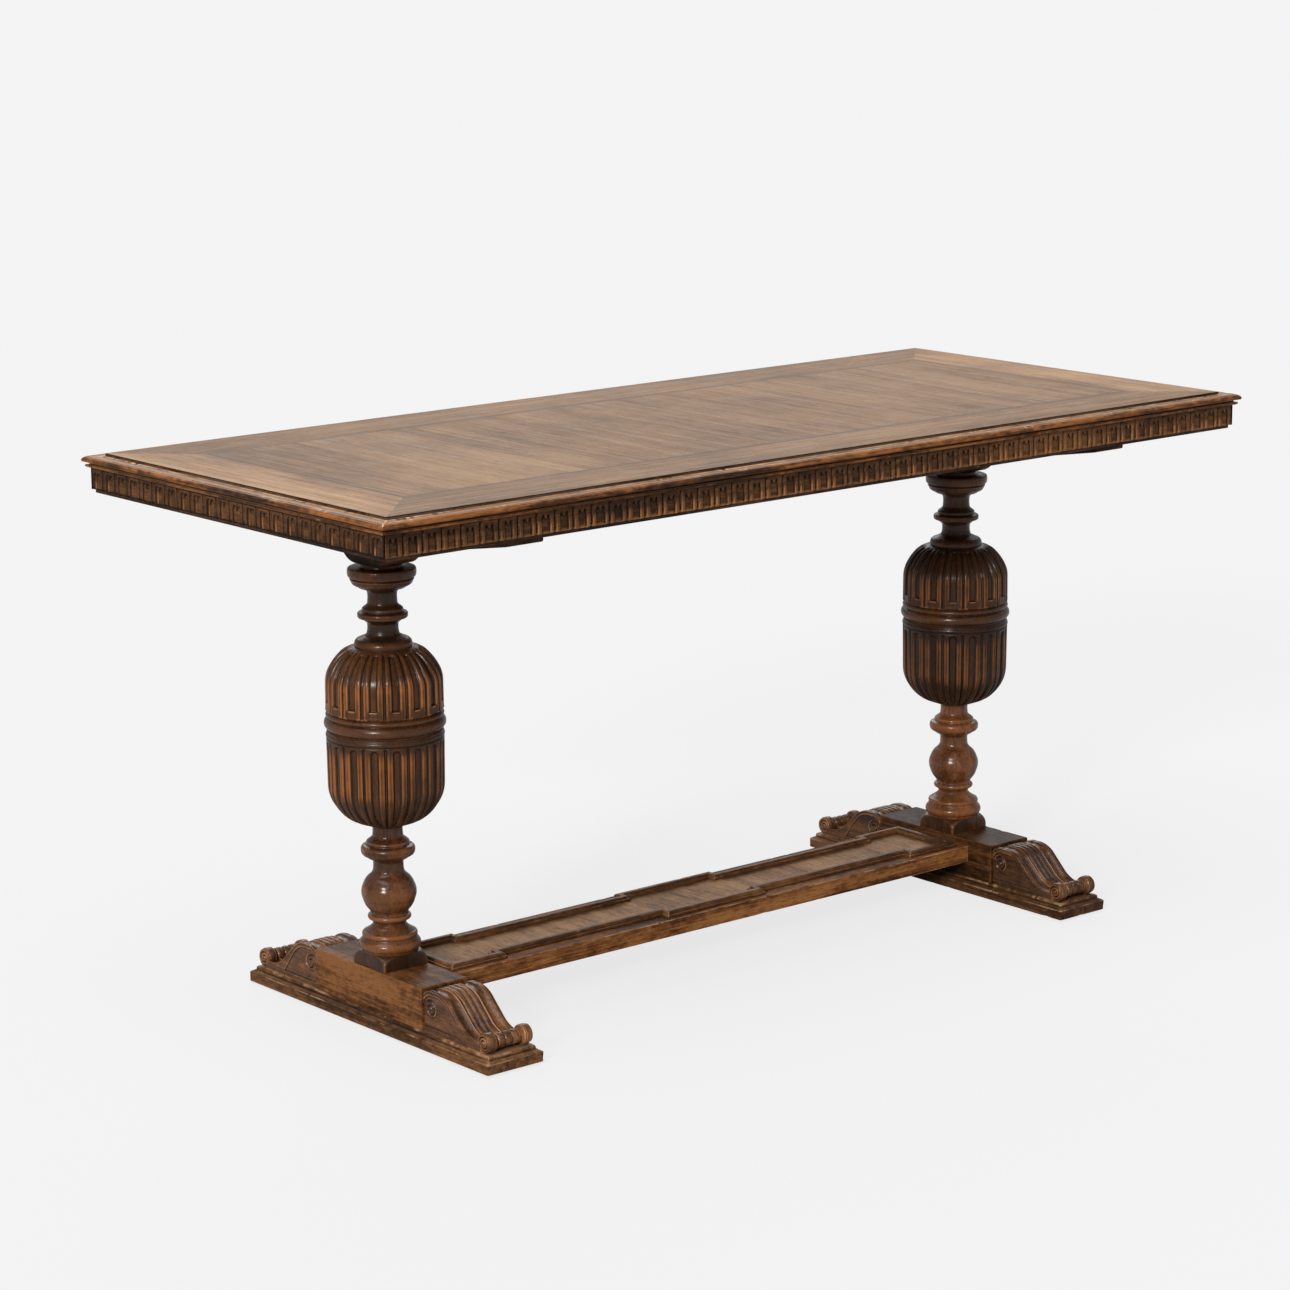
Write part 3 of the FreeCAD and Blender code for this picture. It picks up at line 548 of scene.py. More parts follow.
def channel_depth(share, radius, above, foot=None):
    """Depth of a gouged channel down the middle of each flute, round where it goes on above its
    head, and cut off square at foot, if that is given."""
    pitch = 2 * math.pi * radius / FLUTES
    half = 0.205 * pitch
    inside = 1 - np.hypot(share * pitch, np.maximum(above, 0)) / half
    if foot is not None:
        inside = np.minimum(inside, foot / (0.8 * half))
    return 3.0 * MM * dished(np.clip(inside, 0, 1))


def crown_depth(share):
    """Depth by which the panels between the flutes fall away either side of their crowns."""
    return 0.5 * MM * ramped(np.abs(share - 0.305), 0.03, 0.1)


def cup_depth(share, radius, height, run):
    """Depth of the cup's carving: round-headed channels between raised panels."""
    channel = channel_depth(share, radius, height - 111.0 * MM)
    quirk = quirk_depth(share) * ramped(height, 120.0 * MM, 118.5 * MM)
    crown = crown_depth(share) * ramped(height, 119 * MM, 116 * MM)
    ring = 1.4 * MM * np.exp(-((height - 121.0 * MM) / (0.9 * MM)) ** 2)
    return (channel + quirk + crown) * ramped(run, 1 * MM, 14 * MM) + ring


def cover_depth(share, radius, height, run):
    """Depth of the cover's carving: channels that stop square above its foot and in a scallop
    under its crown."""
    channel = channel_depth(share, radius, 52.0 * MM - radius, height - 12.5 * MM)
    quirk = quirk_depth(share) * ramped(height, 1.0 * MM, 3.0 * MM) * ramped(radius, 44.0 * MM, 49.0 * MM)
    return channel + quirk + crown_depth(share) * ramped(radius, 44 * MM, 50 * MM)


def bulb_half(node, steps, depth_of, rubbed_band, finish, board):
    """Cup or cover: a dense turning with its carving sunk into it, rubbed most between the two
    heights of rubbed_band."""
    outline = turned_outline(node, steps)
    along = np.gradient(outline, axis=0)
    along /= np.linalg.norm(along, axis=1)[:, None]
    run = np.concatenate([[0], np.cumsum(np.linalg.norm(np.diff(outline, axis=0), axis=1))])
    steps_round = FLUTES * STEPS_PER_FLUTE
    turn = (np.arange(steps_round) + 0.5) / STEPS_PER_FLUTE
    angle = 2 * math.pi * turn / FLUTES + FIRST_FLUTE
    chance = np.random.default_rng(int(board * 10))
    lean = chance.normal(0, 0.012, FLUTES)[turn.astype(int)]
    share = np.abs((turn + lean) % 1 - 0.5)[None, :]
    deeper = chance.normal(1, 0.07, FLUTES)[turn.astype(int)][None, :]
    radius, height = outline[:, 0, None], outline[:, 1, None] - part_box(node)[0].z
    depth = depth_of(share, radius, height, run[:, None]) * deeper
    radius = radius - along[:, 1, None] * depth
    level = outline[:, 1, None] + along[:, 0, None] * depth
    rings = np.stack([leg_x(node) + radius * np.cos(angle), radius * np.sin(angle), level], 2)
    piece = rings_piece(node + "_carved", rings, finish)
    heights = heights_on(piece, node)
    start, stop = rubbed_band
    favoured = (ramped(heights, start - 20 * MM, start + 15 * MM)
                * ramped(heights, stop + 20 * MM, stop - 10 * MM))
    return finished(piece, node, board, 0.28 * MM, 9, 0.15 + 0.85 * favoured)


def plinth(node, finish, board):
    """Square block under the turning, its corners turned away to a dome."""
    low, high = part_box(node)
    side = (high.y - low.y) / 2
    outline = traced([(52.0, 0.0, 0), (50.0, 8.0, 0.5), (38.0, 20.4, 2.6)], 0.7)
    outline[:, 1] *= (high.z - low.z) / (20.4 * MM)
    angle = np.linspace(0, 2 * math.pi, 320, endpoint=False)
    square = side / np.maximum(np.abs(np.cos(angle)), np.abs(np.sin(angle)))[None, :]
    dome = outline[:, 0, None]
    sharp = 900.0
    radius = -np.log(np.exp(-square * sharp) + np.exp(-dome * sharp)) / sharp
    radius = np.minimum(radius, side * 1.41 - 0.6 * MM)
    level = np.repeat(low.z + outline[:, 1, None], len(angle), 1)
    rings = np.stack([leg_x(node) + radius * np.cos(angle), radius * np.sin(angle), level], 2)
    return finished(rings_piece(node + "_turned", rings, finish), node, board)


# ================================================================ boards and mouldings
def rectangle(half_x, half_y, corner, count_x, count_y):
    """Points round a rectangle with small round corners, the same number for every size."""
    centres = [(sx * (half_x - corner), sy * (half_y - corner)) for sx, sy in QUARTERS]
    points = []
    for turn, (x, y) in enumerate(centres):
        for angle in (0, 30, 60, 90):
            angle = math.radians(angle + 90 * turn)
            points.append((x + corner * math.cos(angle), y + corner * math.sin(angle)))
        count = count_y if turn % 2 else count_x
        next_x, next_y = centres[(turn + 1) % 4]
        end_x, end_y = points[-1]
        for share in np.arange(1, count + 1) / (count + 1):
            points.append((end_x + (next_x - x) * share, end_y + (next_y - y) * share))
    return np.array(points)


def board_piece(name, low, high, drawn, softness, finish, spacing, corner):
    """A rectangular board between two corners, whose edge is drawn as (inset, height, bow) steps
    from underside to top face."""
    edge = eased(traced(drawn, 0.8), softness)
    edge[:, 1] += low.z
    centre = (low + high) / 2
    half_x, half_y = (high.x - low.x) / 2, (high.y - low.y) / 2
    count_x, count_y = int(2 * half_x / spacing), int(2 * half_y / spacing)
    rings = []
    for inset, z in edge:
        round_corner = max(0.2 * MM, corner - inset * 0.2)
        around = rectangle(half_x - inset, half_y - inset, round_corner, count_x, count_y)
        rings.append(np.column_stack([centre[0] + around[:, 0], centre[1] + around[:, 1],
                                      np.full(len(around), z)]))
    return rings_piece(name, rings, finish)


def rounded_levels(low, high, radius, count=4):
    """Levels through a thickness whose two arrises are rounded to a radius."""
    arc = [math.pi / 2 * i / count for i in range(count + 1)]
    start = [(radius * (1 - math.sin(a)), low + radius * (1 - math.cos(a))) for a in arc]
    return start + [(inset, high + low - where) for inset, where in reversed(start)]


def mitred_rings(section, start, end, trims, base, spacing):
    """Rings of a moulding of the closed section (inset, height) along one straight line from
    corner to corner, its inside on the left of the way it runs. trims is 1 at an outer corner,
    -1 at an inner one."""
    start, end = Vector(start), Vector(end)
    way = (end - start).normalized()
    inward = Vector((-way.y, way.x))
    count = max(2, int((end - start).length / spacing))
    inset, height = section[:, 0], section[:, 1]
    rings = []
    for step in range(count + 1):
        share = step / count
        along = inset * trims[0] + share * ((end - start).length - inset * (trims[0] + trims[1]))
        rings.append(np.column_stack([start.x + way.x * along + inward.x * inset,
                                      start.y + way.y * along + inward.y * inset, base + height]))
    return np.asarray(rings)


def knocked(piece, seed, count, size, depth):
    """Dents along the edges of a piece, always inwards."""
    chance = random.Random(seed)
    places, normals, _ = point_arrays(piece)
    edge_points = np.flatnonzero(standing_out(piece, (NEAR_ROUNDS,))[0] > ARRIS)
    for _ in range(count if len(edge_points) else 0):
        centre = places[edge_points[chance.randrange(len(edge_points))]]
        reach = size * chance.uniform(0.5, 1.6)
        push = depth * chance.uniform(0.25, 1.0)
        away = np.sum((places - centre) ** 2, axis=1)
        places = places - normals * (push * np.exp(-away / reach ** 2))[:, None]
    piece.data.vertices.foreach_set("co", places.ravel())
    piece.data.update()
    return piece


def edge_mouldings(finishes):
    """Mitred edge moulding: a rounded nose over a small bead, worn and dented, its upper arris paled
    partly by wear and partly by a painted highlight.
    """
    low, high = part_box("edge_moulding_front")
    drawn = [(24.0, 0.0, 0), (6.8, 0.0, 0), (5.2, 0.9, 0), (5.2, 4.2, -1.3), (8.6, 4.8, 0),
             (8.6, 7.3, 0), (2.0, 7.6, 0), (0.4, 9.4, -0.4), (5.2, 14.8, -1.3), (6.0, 15.5, 0),
             (7.4, 15.5, 0), (8.0, 14.9, 0), (18.8, 14.9, 0), (19.8, 13.4, 0), (20.8, 15.1, 0),
             (24.0, 15.5, 0)]
    section = eased(traced(drawn, 0.5, closed=True), 0.5 * MM, closed=True)
    half_x, half_y = high.x, -low.y
    corners = [(-half_x, -half_y), (half_x, -half_y), (half_x, half_y), (-half_x, half_y)]
    for number, side in enumerate(SIDES):
        node = "edge_moulding_" + side
        rings = mitred_rings(section, corners[number], corners[(number + 1) % 4], (1, 1), low.z, 2.5 * MM)
        piece = rings_piece(node + "_run", rings, finishes[number % 2])
        knocked(piece, 40 + number, 46 if number % 2 == 0 else 20, 3.2 * MM, 0.8 * MM)
        # The upper arris is paled most: partly real wear, partly a painted highlight.
        favoured = 0.25 + 1.45 * ramped(heights_on(piece, node), 11.5 * MM, 14.0 * MM)
        finished(piece, node, 1.0 + number, 0.35 * MM, 8, favoured)


# ================================================================ carved frieze
def tongue_depth(across, height, rail_height, pitch, chance):
    """Depth of the carving of one tongue: V-grooves at its sides, raised fillets, and a sunk
    channel whose head is two gouge cuts with a leaf hanging between them."""
    out = np.abs(across)
    groove = 3.5 * MM * np.clip((out - (pitch / 2 - 2.5 * MM)) / (2.5 * MM), 0, 1)
    lean, half = chance.normal(0, 0.25 * MM), chance.normal(7.4, 0.25) * MM
    deep = chance.normal(2.5, 0.22) * MM
    inner = np.abs(across - lean)
    cut = half / 2
    head = rail_height - chance.normal(5.2, 0.5) * MM
    leaf = 4.2 * MM * np.clip(1 - inner / cut, 0, 1) ** 1.4
    top = head + np.sqrt(np.maximum(cut ** 2 - (inner - cut) ** 2, 0)) - cut - leaf
    sides = ramped(half - inner, -0.1 * MM, 1.3 * MM)
    channel = deep * sides * ramped(top - height, -0.2 * MM, 1.4 * MM)
    gouge = np.hypot(inner - cut, (height - head + 2.6 * MM) * 0.8) / (2.6 * MM)
    channel = channel + 1.7 * MM * np.exp(-gouge ** 2)
    crease = 0.9 * MM * np.exp(-((half - inner - 1.1 * MM) / (0.8 * MM)) ** 2)
    channel = channel + crease * ramped(top - height, 0, 1.4 * MM)
    fillet = np.clip((out - 9.7 * MM) / (3.2 * MM), -1, 1)
    rounding = 0.5 * MM * fillet ** 2 * (out > half)
    foot = 1.6 * MM * ramped(height, 2.2 * MM, 0.0) * (out > half)
    chatter = 0.12 * MM * np.sin(height / MM * 1.9 + chance.uniform(0, 6)) * ramped(out, 0, half)
    return groove + channel + rounding + foot + np.abs(chatter)


def frieze_rail(node, quarter, half_length, half_width, finish, board):
    """One carved rail, drawn facing -Y and turned to its side."""
    low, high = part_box(node)
    rail_height = high.z - low.z
    count = round(2 * half_length / TONGUE_PITCH)
    pitch = 2 * half_length / count
    chance = np.random.default_rng(int(board * 10))
    heights = np.linspace(0, rail_height, 42)
    columns_x, columns_depth = [], []
    steps = 40
    for number in range(count):
        across = (np.arange(steps) / steps - 0.5) * pitch
        middle = -half_length + (number + 0.5) * pitch
        columns_x.append(middle + across)
        columns_depth.append(tongue_depth(across[:, None], heights[None, :], rail_height, pitch, chance))
    x = np.concatenate(columns_x + [[half_length]])
    depth = np.concatenate(columns_depth + [columns_depth[-1][-1:] * 0])
    depth[0] = 0
    inner = np.full((len(x), 2), RAIL_THICKNESS)
    setback = np.column_stack([depth, inner])
    level = low.z + np.concatenate([heights, [rail_height, 0]])
    reach = half_length - setback
    along = np.clip(x[:, None], -reach, reach)
    turn = quarter * math.pi / 2
    out = -(half_width - setback)
    rings = np.stack([along * math.cos(turn) - out * math.sin(turn),
                      along * math.sin(turn) + out * math.cos(turn),
                      np.repeat(level[None, :], len(x), 0)], 2)
    piece = rings_piece(node + "_carved", rings, finish)
    favoured = 0.35 + 0.65 * ramped(heights_on(piece, node), 20 * MM, 6 * MM)
    return finished(piece, node, board, 0.35 * MM, 8, favoured)


# ================================================================ under the top
def bearer(node, finish, board):
    """Cross bearer over a pillar: a flat seat, long tapers either side and thin ends."""
    low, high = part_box(node)
    half, top = high.y / MM, (high.z - low.z) / MM
    seat, shoulder, shoulder_up, end_up = 20.0, 74.0, 26.5, 67.5
    turn_y, turn_z = (seat + shoulder) / 2, shoulder_up / 2
    rise = math.atan2(turn_z, turn_y - seat)
    swell = math.hypot(turn_y - seat, turn_z) / 2 * math.tan(rise / 2)
    drawn = [(-seat, 0.0, swell), (seat, 0.0, 0), (turn_y, turn_z, swell),
             (shoulder, shoulder_up, -swell), (half, end_up, 0), (half, top, 0), (-half, top, 0),
             (-half, end_up, 0), (-shoulder, shoulder_up, 0), (-turn_y, turn_z, -swell)]
    outline = eased(traced(drawn, 2.5, closed=True), 0.8 * MM, closed=True)
    ahead = np.roll(outline, -1, 0) - np.roll(outline, 1, 0)
    ahead /= np.linalg.norm(ahead, axis=1)[:, None]
    inward = np.column_stack([-ahead[:, 1], ahead[:, 0]])
    rings = []
    for inset, x in rounded_levels(low.x, high.x, 1.0 * MM):
        at = outline + inward * inset
        rings.append(np.column_stack([np.full(len(at), x), at[:, 0], low.z + at[:, 1]]))
    return finished(rings_piece(node + "_board", rings, finish), node, board)


# ================================================================ feet
def foot_base(node, finish, board):
    """Base board of a foot: upright edge, splay and a small step up to its top."""
    low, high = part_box(node)
    drawn = [(3.0, 0.0, 0), (0.0, 0.0, 0), (0.0, 13.6, 0), (7.0, 17.2, 0), (7.0, 20.0, 0),
             (9.4, 22.4, -0.48), (15.0, 22.4, 0)]
    piece = board_piece(node + "_board", low, high, drawn, 0.9 * MM, finish, 2.5 * MM, 2.5 * MM)
    knocked(piece, int(board * 10), 26, 3.5 * MM, 1.0 * MM)
    favoured = 0.2 + 0.8 * ramped(heights_on(piece, node), 11 * MM, 14 * MM)
    return finished(piece, node, board, favoured=favoured)


def foot_block(node, finish, board):
    """Block in the middle of a foot, its upper arris chamfered."""
    low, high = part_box(node)
    rise = (high.z - low.z) / MM
    drawn = [(4.0, 0.0, 0), (0.0, 0.0, 0), (0.0, rise - 1.2, 0), (1.2, rise, 0), (8.0, rise, 0)]
    piece = board_piece(node + "_sawn", low, high, drawn, 0.7 * MM, finish, 2.5 * MM, 1.2 * MM)
    knocked(piece, int(board * 10), 14, 3.0 * MM, 0.7 * MM)
    return finished(piece, node, board)


def scroll_section(across):
    """How far the carved back of a scroll lies below its arrises, across its width from -1 to 1:
    a rounded edge band, a wide hollow, three narrow reeds in the middle, and the same back."""
    out = np.abs(across)
    edge = 1.4 * MM * ramped(out, 0.80, 1.0) ** 2 + 0.9 * MM * ramped(out, 0.90, 0.82)
    hollow = 4.0 * MM * np.sin(np.clip((0.84 - out) / 0.42, 0, 1) * math.pi) ** 0.8
    reed = np.abs((out / 0.24 + 0.5) % 1 - 0.5) * 2
    reeds = 0.3 * MM + 3.8 * MM * (1 - np.sqrt(1 - 0.98 * reed ** 2))
    return np.where(out > 0.42, np.maximum(edge, hollow), np.where(out > 0.36, 4.1 * MM, reeds))


def curl(along, up):
    """A comma-shaped boss, 0 to 1, and the hooked line cut round and into it, 0 to 1."""
    away, turn = np.hypot(along, up), np.arctan2(up, along)
    cut = np.zeros_like(away)
    for lap in (0, 1):
        run = (math.radians(150) - turn) / (2 * math.pi) % 1 + lap
        arm = 11.8 * MM - 6.4 * MM * run
        share = np.exp(-((away - arm) / (1.15 * MM)) ** 2) * ramped(run, 1.45, 1.30)
        cut = np.maximum(cut, share)
    return ramped(away, 13.0 * MM, 10.6 * MM), cut


def scroll_body(half_width):
    """Rings (out from the block, across, up) of the S-shaped body: carved down its back, with a
    sunk panel, a ledge and an eye in each cheek."""
    back = traced([(0.0, 49.0, 0), (22.0, 57.5, -3.4), (60.0, 44.0, -5.0), (82.0, 23.0, 0),
                   (116.4, 11.5, 3.6), (124.0, 11.5, 0)], 0.5)
    out = np.linspace(0, SCROLL_BODY, 200)
    top = np.interp(out, back[:, 0], back[:, 1])
    slope = np.gradient(top, out)
    lean = 1 / np.sqrt(1 + slope * slope)
    rows, columns = 76, 150
    rings = []
    across = np.linspace(-1, 1, columns)
    section = scroll_section(across)
    for s, crest, cosine in zip(out, top, lean):
        up = np.linspace(0, 1, rows) * crest
        below = (crest - up) * cosine
        band = 6.5 * MM + 6.0 * MM * ramped(s, 56 * MM, 84 * MM)
        inside = np.minimum(below - band, up - 6.2 * MM)
        cheek = 1.7 * MM * ramped(inside, -0.1 * MM, 1.2 * MM)
        cheek = cheek + 1.2 * MM * ramped(up, 4.2 * MM, 2.8 * MM) * ramped(s, 96 * MM, 80 * MM)
        inner_line = 0.7 * MM * np.exp(-((below - 2.6 * MM) / (0.7 * MM)) ** 2)
        inner_line = inner_line * ramped(s, 112 * MM, 100 * MM)
        boss, cut = curl(s - 16.5 * MM, up - 33.0 * MM)
        cheek = cheek * (1 - 0.8 * boss) + 2.8 * MM * cut + inner_line
        joint = 1.4 * MM * ramped(s, 2.4 * MM, 1.2 * MM)
        edge = 0.6 * MM * ramped(below, 1.0 * MM, 0.0)
        wall = half_width - edge - np.clip(cheek, 0, 3.4 * MM) - joint
        deep = section * ramped(s, -2 * MM, 12 * MM) / cosine
        ridge = np.column_stack([np.full(columns, s), across * (half_width - 0.6 * MM), crest - deep])
        left = np.column_stack([np.full(rows, s), -wall, up])
        right = np.column_stack([np.full(rows, s), wall, up])
        left[-1, 2] = right[-1, 2] = ridge[0, 2]
        rings.append(np.concatenate([left[:-1], ridge, right[:-1][::-1]]))
    return np.asarray(rings)


def scroll_roll(half_width):
    """Rings of the roll that ends a scroll: round ends, a waist cut with fine rings, and a spiral
    groove in each end."""
    centre_out, centre_up = SCROLL_REACH - ROLL_RADIUS, ROLL_RADIUS
    angle = np.linspace(0, 2 * math.pi, 108, endpoint=False)
    face = np.linspace(0.6, 12.4, 40) * MM
    cheeks = []
    for side in (-1, 1):
        lap = (face[:, None] / (4.8 * MM) - angle[None, :] / (2 * math.pi)) % 1
        groove = np.exp(-((lap - 0.5) / 0.19) ** 2)
        cut = 3.2 * MM * groove * ramped(face, 1.8 * MM, 3.4 * MM)[:, None]
        cut = cut * ramped(face, 12.0 * MM, 10.6 * MM)[:, None]
        round_off = 1.2 * MM * ramped(face, 10.6 * MM, 12.6 * MM)[:, None]
        cheeks.append((np.repeat(face[:, None], len(angle), 1), side * (half_width - cut - round_off)))
    across = np.linspace(-1, 1, 210)
    out = np.abs(across)
    waist = 1.5 * MM * ramped(out, 0.66, 0.52)
    lobe = np.abs((out / 0.31 + 0.5) % 1 - 0.5) * 2
    lobes = 2.8 * MM * (1 - np.sqrt(1 - 0.98 * lobe ** 2)) * (out < 0.46)
    valley = 3.2 * MM * np.exp(-((out - 0.55) / 0.055) ** 2)
    ring = 0.8 * MM * np.exp(-((out - 0.70) / 0.018) ** 2)
    shoulder = 1.6 * MM * ramped(np.abs(out - 0.80), 0.08, 0.20) ** 2
    barrel = ROLL_RADIUS - waist - lobes - valley - ring - shoulder
    walls = (np.repeat(barrel[:, None], len(angle), 1),
             np.repeat((across * (half_width - 1.2 * MM))[:, None], len(angle), 1))
    radii = np.concatenate([cheeks[0][0], walls[0], cheeks[1][0][::-1]])
    levels = np.concatenate([cheeks[0][1], walls[1], cheeks[1][1][::-1]])
    return np.stack([centre_out + radii * np.cos(angle), levels, centre_up + radii * np.sin(angle)], 2)


def scroll(node, finish, board):
    """Carved S-scroll against one end of a foot's block, its low cheek spared from rubbing."""
    low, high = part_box(node)
    front = low.y < 0
    half_width = (high.x - low.x) / 2
    reach = (high.y - low.y) / SCROLL_REACH
    way = -1 if front else 1
    inner = high.y if front else low.y
    stacks = []
    for rings in (scroll_body(half_width), scroll_roll(half_width)):
        placed = np.empty_like(rings)
        placed[..., 0] = (low.x + high.x) / 2 + rings[..., 1]
        placed[..., 1] = inner + way * rings[..., 0] * reach
        placed[..., 2] = low.z + rings[..., 2]
        stacks.append(placed)
    piece = joined_piece(node + "_carved", stacks, finish)
    places = point_arrays(piece)[0]
    out, up = np.abs(places[:, 1] - inner), places[:, 2] - low.z
    spared = ramped(up, 9 * MM, 7 * MM) * (out < 96 * MM)
    spared = np.maximum(spared, np.hypot(out - 15.5 * MM, up - 32.0 * MM) < 11 * MM)
    return finished(piece, node, board, 0.32 * MM, 10, 1 - 0.7 * spared)


# ================================================================ stretcher
def stretcher(finish):
    """The board between the feet, without its hidden tenons."""
    low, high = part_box("stretcher_board")
    tenon = Vector((TENON_LENGTH, 0, 0))
    rise = (high.z - low.z) / MM
    drawn = [(4.0, 0.0, 0), (0.0, 0.0, 0), (0.0, rise, 0), (9.0, rise, 0)]
    piece = board_piece("stretcher_board_sawn", low + tenon, high - tenon, drawn, 1.0 * MM, finish,
                        3.0 * MM, 0.8 * MM)
    knocked(piece, 77, 30, 3.5 * MM, 0.7 * MM)
    return finished(piece, "stretcher_board", 7.0)


def panel_mouldings(finishes):
    """Jogged moulding laid on the stretcher, mitred at every corner."""
    drawn = [(0.0, 0.0, 0), (14.0, 0.0, 0), (14.0, 2.8, 0), (11.2, 5.0, 0.9), (10.4, 8.0, 0),
             (4.8, 8.0, 0), (2.2, 4.0, 0.8), (0.0, 3.4, 0)]
    section = eased(traced(drawn, 0.6, closed=True), 0.45 * MM, closed=True)
    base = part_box("panel_mould_left_end")[0].z
    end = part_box("panel_mould_right_end")[1].x
    near = [(JOG_INNER, -PANEL_WIDE), (JOG_INNER, -PANEL_NARROW), (JOG_OUTER, -PANEL_NARROW),
            (JOG_OUTER, -PANEL_WIDE), (end, -PANEL_WIDE)]
    front = [(-x, y) for x, y in near[::-1]] + near
    loop = front + [(-x, -y) for x, y in front]
    count = len(loop)

    def bends(number):
        a, b, c = loop[number - 1], loop[number % count], loop[(number + 1) % count]
        return math.copysign(1, (b[0] - a[0]) * (c[1] - b[1]) - (b[1] - a[1]) * (c[0] - b[0]))

    names = ["outer_left", None, "inner_left", None, "middle", None, "inner_right", None, "outer_right"]
    nodes = ["panel_mould_front_" + n if n else "panel_mould_returns" for n in names]
    nodes += ["panel_mould_right_end"]
    nodes += ["panel_mould_back_" + n if n else "panel_mould_returns" for n in names[::-1]]
    nodes += ["panel_mould_left_end"]
    returns = []
    for number, node in enumerate(nodes):
        start, stop = loop[number], loop[(number + 1) % count]
        rings = mitred_rings(section, start, stop, (bends(number), bends(number + 1)), base, 2.5 * MM)
        if node == "panel_mould_returns":
            returns.append(rings)
            continue
        lengthways = abs(stop[0] - start[0]) > abs(stop[1] - start[1])
        piece = rings_piece(node + "_run", rings, finishes[0 if lengthways else 1])
        finished(knocked(piece, 200 + number, 6, 3.0 * MM, 0.5 * MM), node, 0.7 * number)
    piece = joined_piece("panel_mould_returns_run", returns, finishes[1])
    finished(piece, "panel_mould_returns", 20.0)


# ================================================================ studio
def floor_paper():
    """Pale paper that is seen nearly white and takes only a faint shadow, and throws less light
    up at the table than it seems to. From below it is not there."""
    finish = Finish("Floor paper")
    glow = finish.add("ShaderNodeEmission", {}, {"Color": (1, 1, 1, 1), "Strength": 0.77})
    shade = finish.add("ShaderNodeBsdfDiffuse", {}, {"Color": (0.11, 0.11, 0.11, 1)})
    dim = finish.add("ShaderNodeBsdfDiffuse", {}, {"Color": (0.45, 0.45, 0.45, 1)})
    seen = finish.add("ShaderNodeAddShader", {}, {0: glow, 1: shade})
    direct = finish.add("ShaderNodeLightPath", {}, {}, "Is Camera Ray")
    above = finish.add("ShaderNodeMixShader", {}, {0: direct, 1: dim, 2: seen})
    nothing = finish.add("ShaderNodeBsdfTransparent", {}, {})
    beneath = finish.add("ShaderNodeNewGeometry", {}, {}, "Backfacing")
    one_sided = finish.add("ShaderNodeMixShader", {}, {0: beneath, 1: above, 2: nothing})
    finish.add("ShaderNodeOutputMaterial", {}, {"Surface": one_sided}, None)
    return finish.material


def studio():
    """Pale seamless floor, even pale light from all round, and soft light from above, from the
    left and from behind."""
    mesh = bpy.data.meshes.new("studio_floor")
    corners = [(x * FLOOR_HALF, y * FLOOR_HALF, FLOOR_LEVEL) for x, y in QUARTERS]
    mesh.from_pydata(corners, [], [(0, 1, 2, 3)])
    floor = bpy.data.objects.new("studio_floor", mesh)
    bpy.context.scene.collection.objects.link(floor)
    floor.data.materials.append(floor_paper())

    world = bpy.data.worlds.new("Studio")
    world.use_nodes = True
    nodes, links = world.node_tree.nodes, world.node_tree.links
    lit, seen = nodes["Background"], nodes.new("ShaderNodeBackground")
    for background, strength in ((lit, 0.32), (seen, 0.91)):
        background.inputs["Color"].default_value = (1, 1, 1, 1)
        background.inputs["Strength"].default_value = strength
    either, path = nodes.new("ShaderNodeMixShader"), nodes.new("ShaderNodeLightPath")
    links.new(path.outputs["Is Camera Ray"], either.inputs[0])
    links.new(lit.outputs[0], either.inputs[1])
    links.new(seen.outputs[0], either.inputs[2])
    links.new(either.outputs[0], nodes["World Output"].inputs["Surface"])
    bpy.context.scene.world = world

    for name, place, softness, strength in (
        ("Overhead light", (-2.0, -0.6, 6.0), 50.0, 1.75),
        ("Left light", (-6.0, -3.4, 2.8), 12.0, 2.2),
        ("Back light", (4.5, 6.0, 4.5), 40.0, 0.6),
    ):
        light = bpy.data.lights.new(name, "SUN")
        light.angle = math.radians(softness)
        light.energy = strength
        lamp = bpy.data.objects.new(name, light)
        lamp.location = place
        lamp.rotation_euler = (-Vector(place)).to_track_quat("-Z", "Y").to_euler()
        bpy.context.scene.collection.objects.link(lamp)


def viewpoint():
    """Camera standing off the front left corner."""
    ahead = Vector((math.sin(CAMERA_YAW) * math.cos(CAMERA_DIP),
                    math.cos(CAMERA_YAW) * math.cos(CAMERA_DIP), -math.sin(CAMERA_DIP)))
    level = Vector((math.cos(CAMERA_YAW), -math.sin(CAMERA_YAW), 0))
    upright = level.cross(ahead)
    right = math.cos(CAMERA_LEAN) * level + math.sin(CAMERA_LEAN) * upright
    up = math.cos(CAMERA_LEAN) * upright - math.sin(CAMERA_LEAN) * level
    data = bpy.data.cameras.new("Camera")
    data.sensor_width = 36.0
    data.lens = CAMERA_LENS
    data.clip_end = 200.0
    camera = bpy.data.objects.new("Camera", data)
    turn = Matrix((right, up, -ahead)).transposed().to_4x4()
    camera.matrix_world = Matrix.Translation(CAMERA_PLACE) @ turn
    bpy.context.scene.collection.objects.link(camera)
    bpy.context.scene.camera = camera


# ================================================================ the table
def dress(node, finish):
    """Gives a CAD node that keeps its own shape its finish."""
    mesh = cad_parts[node].data
    mesh.materials.clear()
    mesh.materials.append(finish)


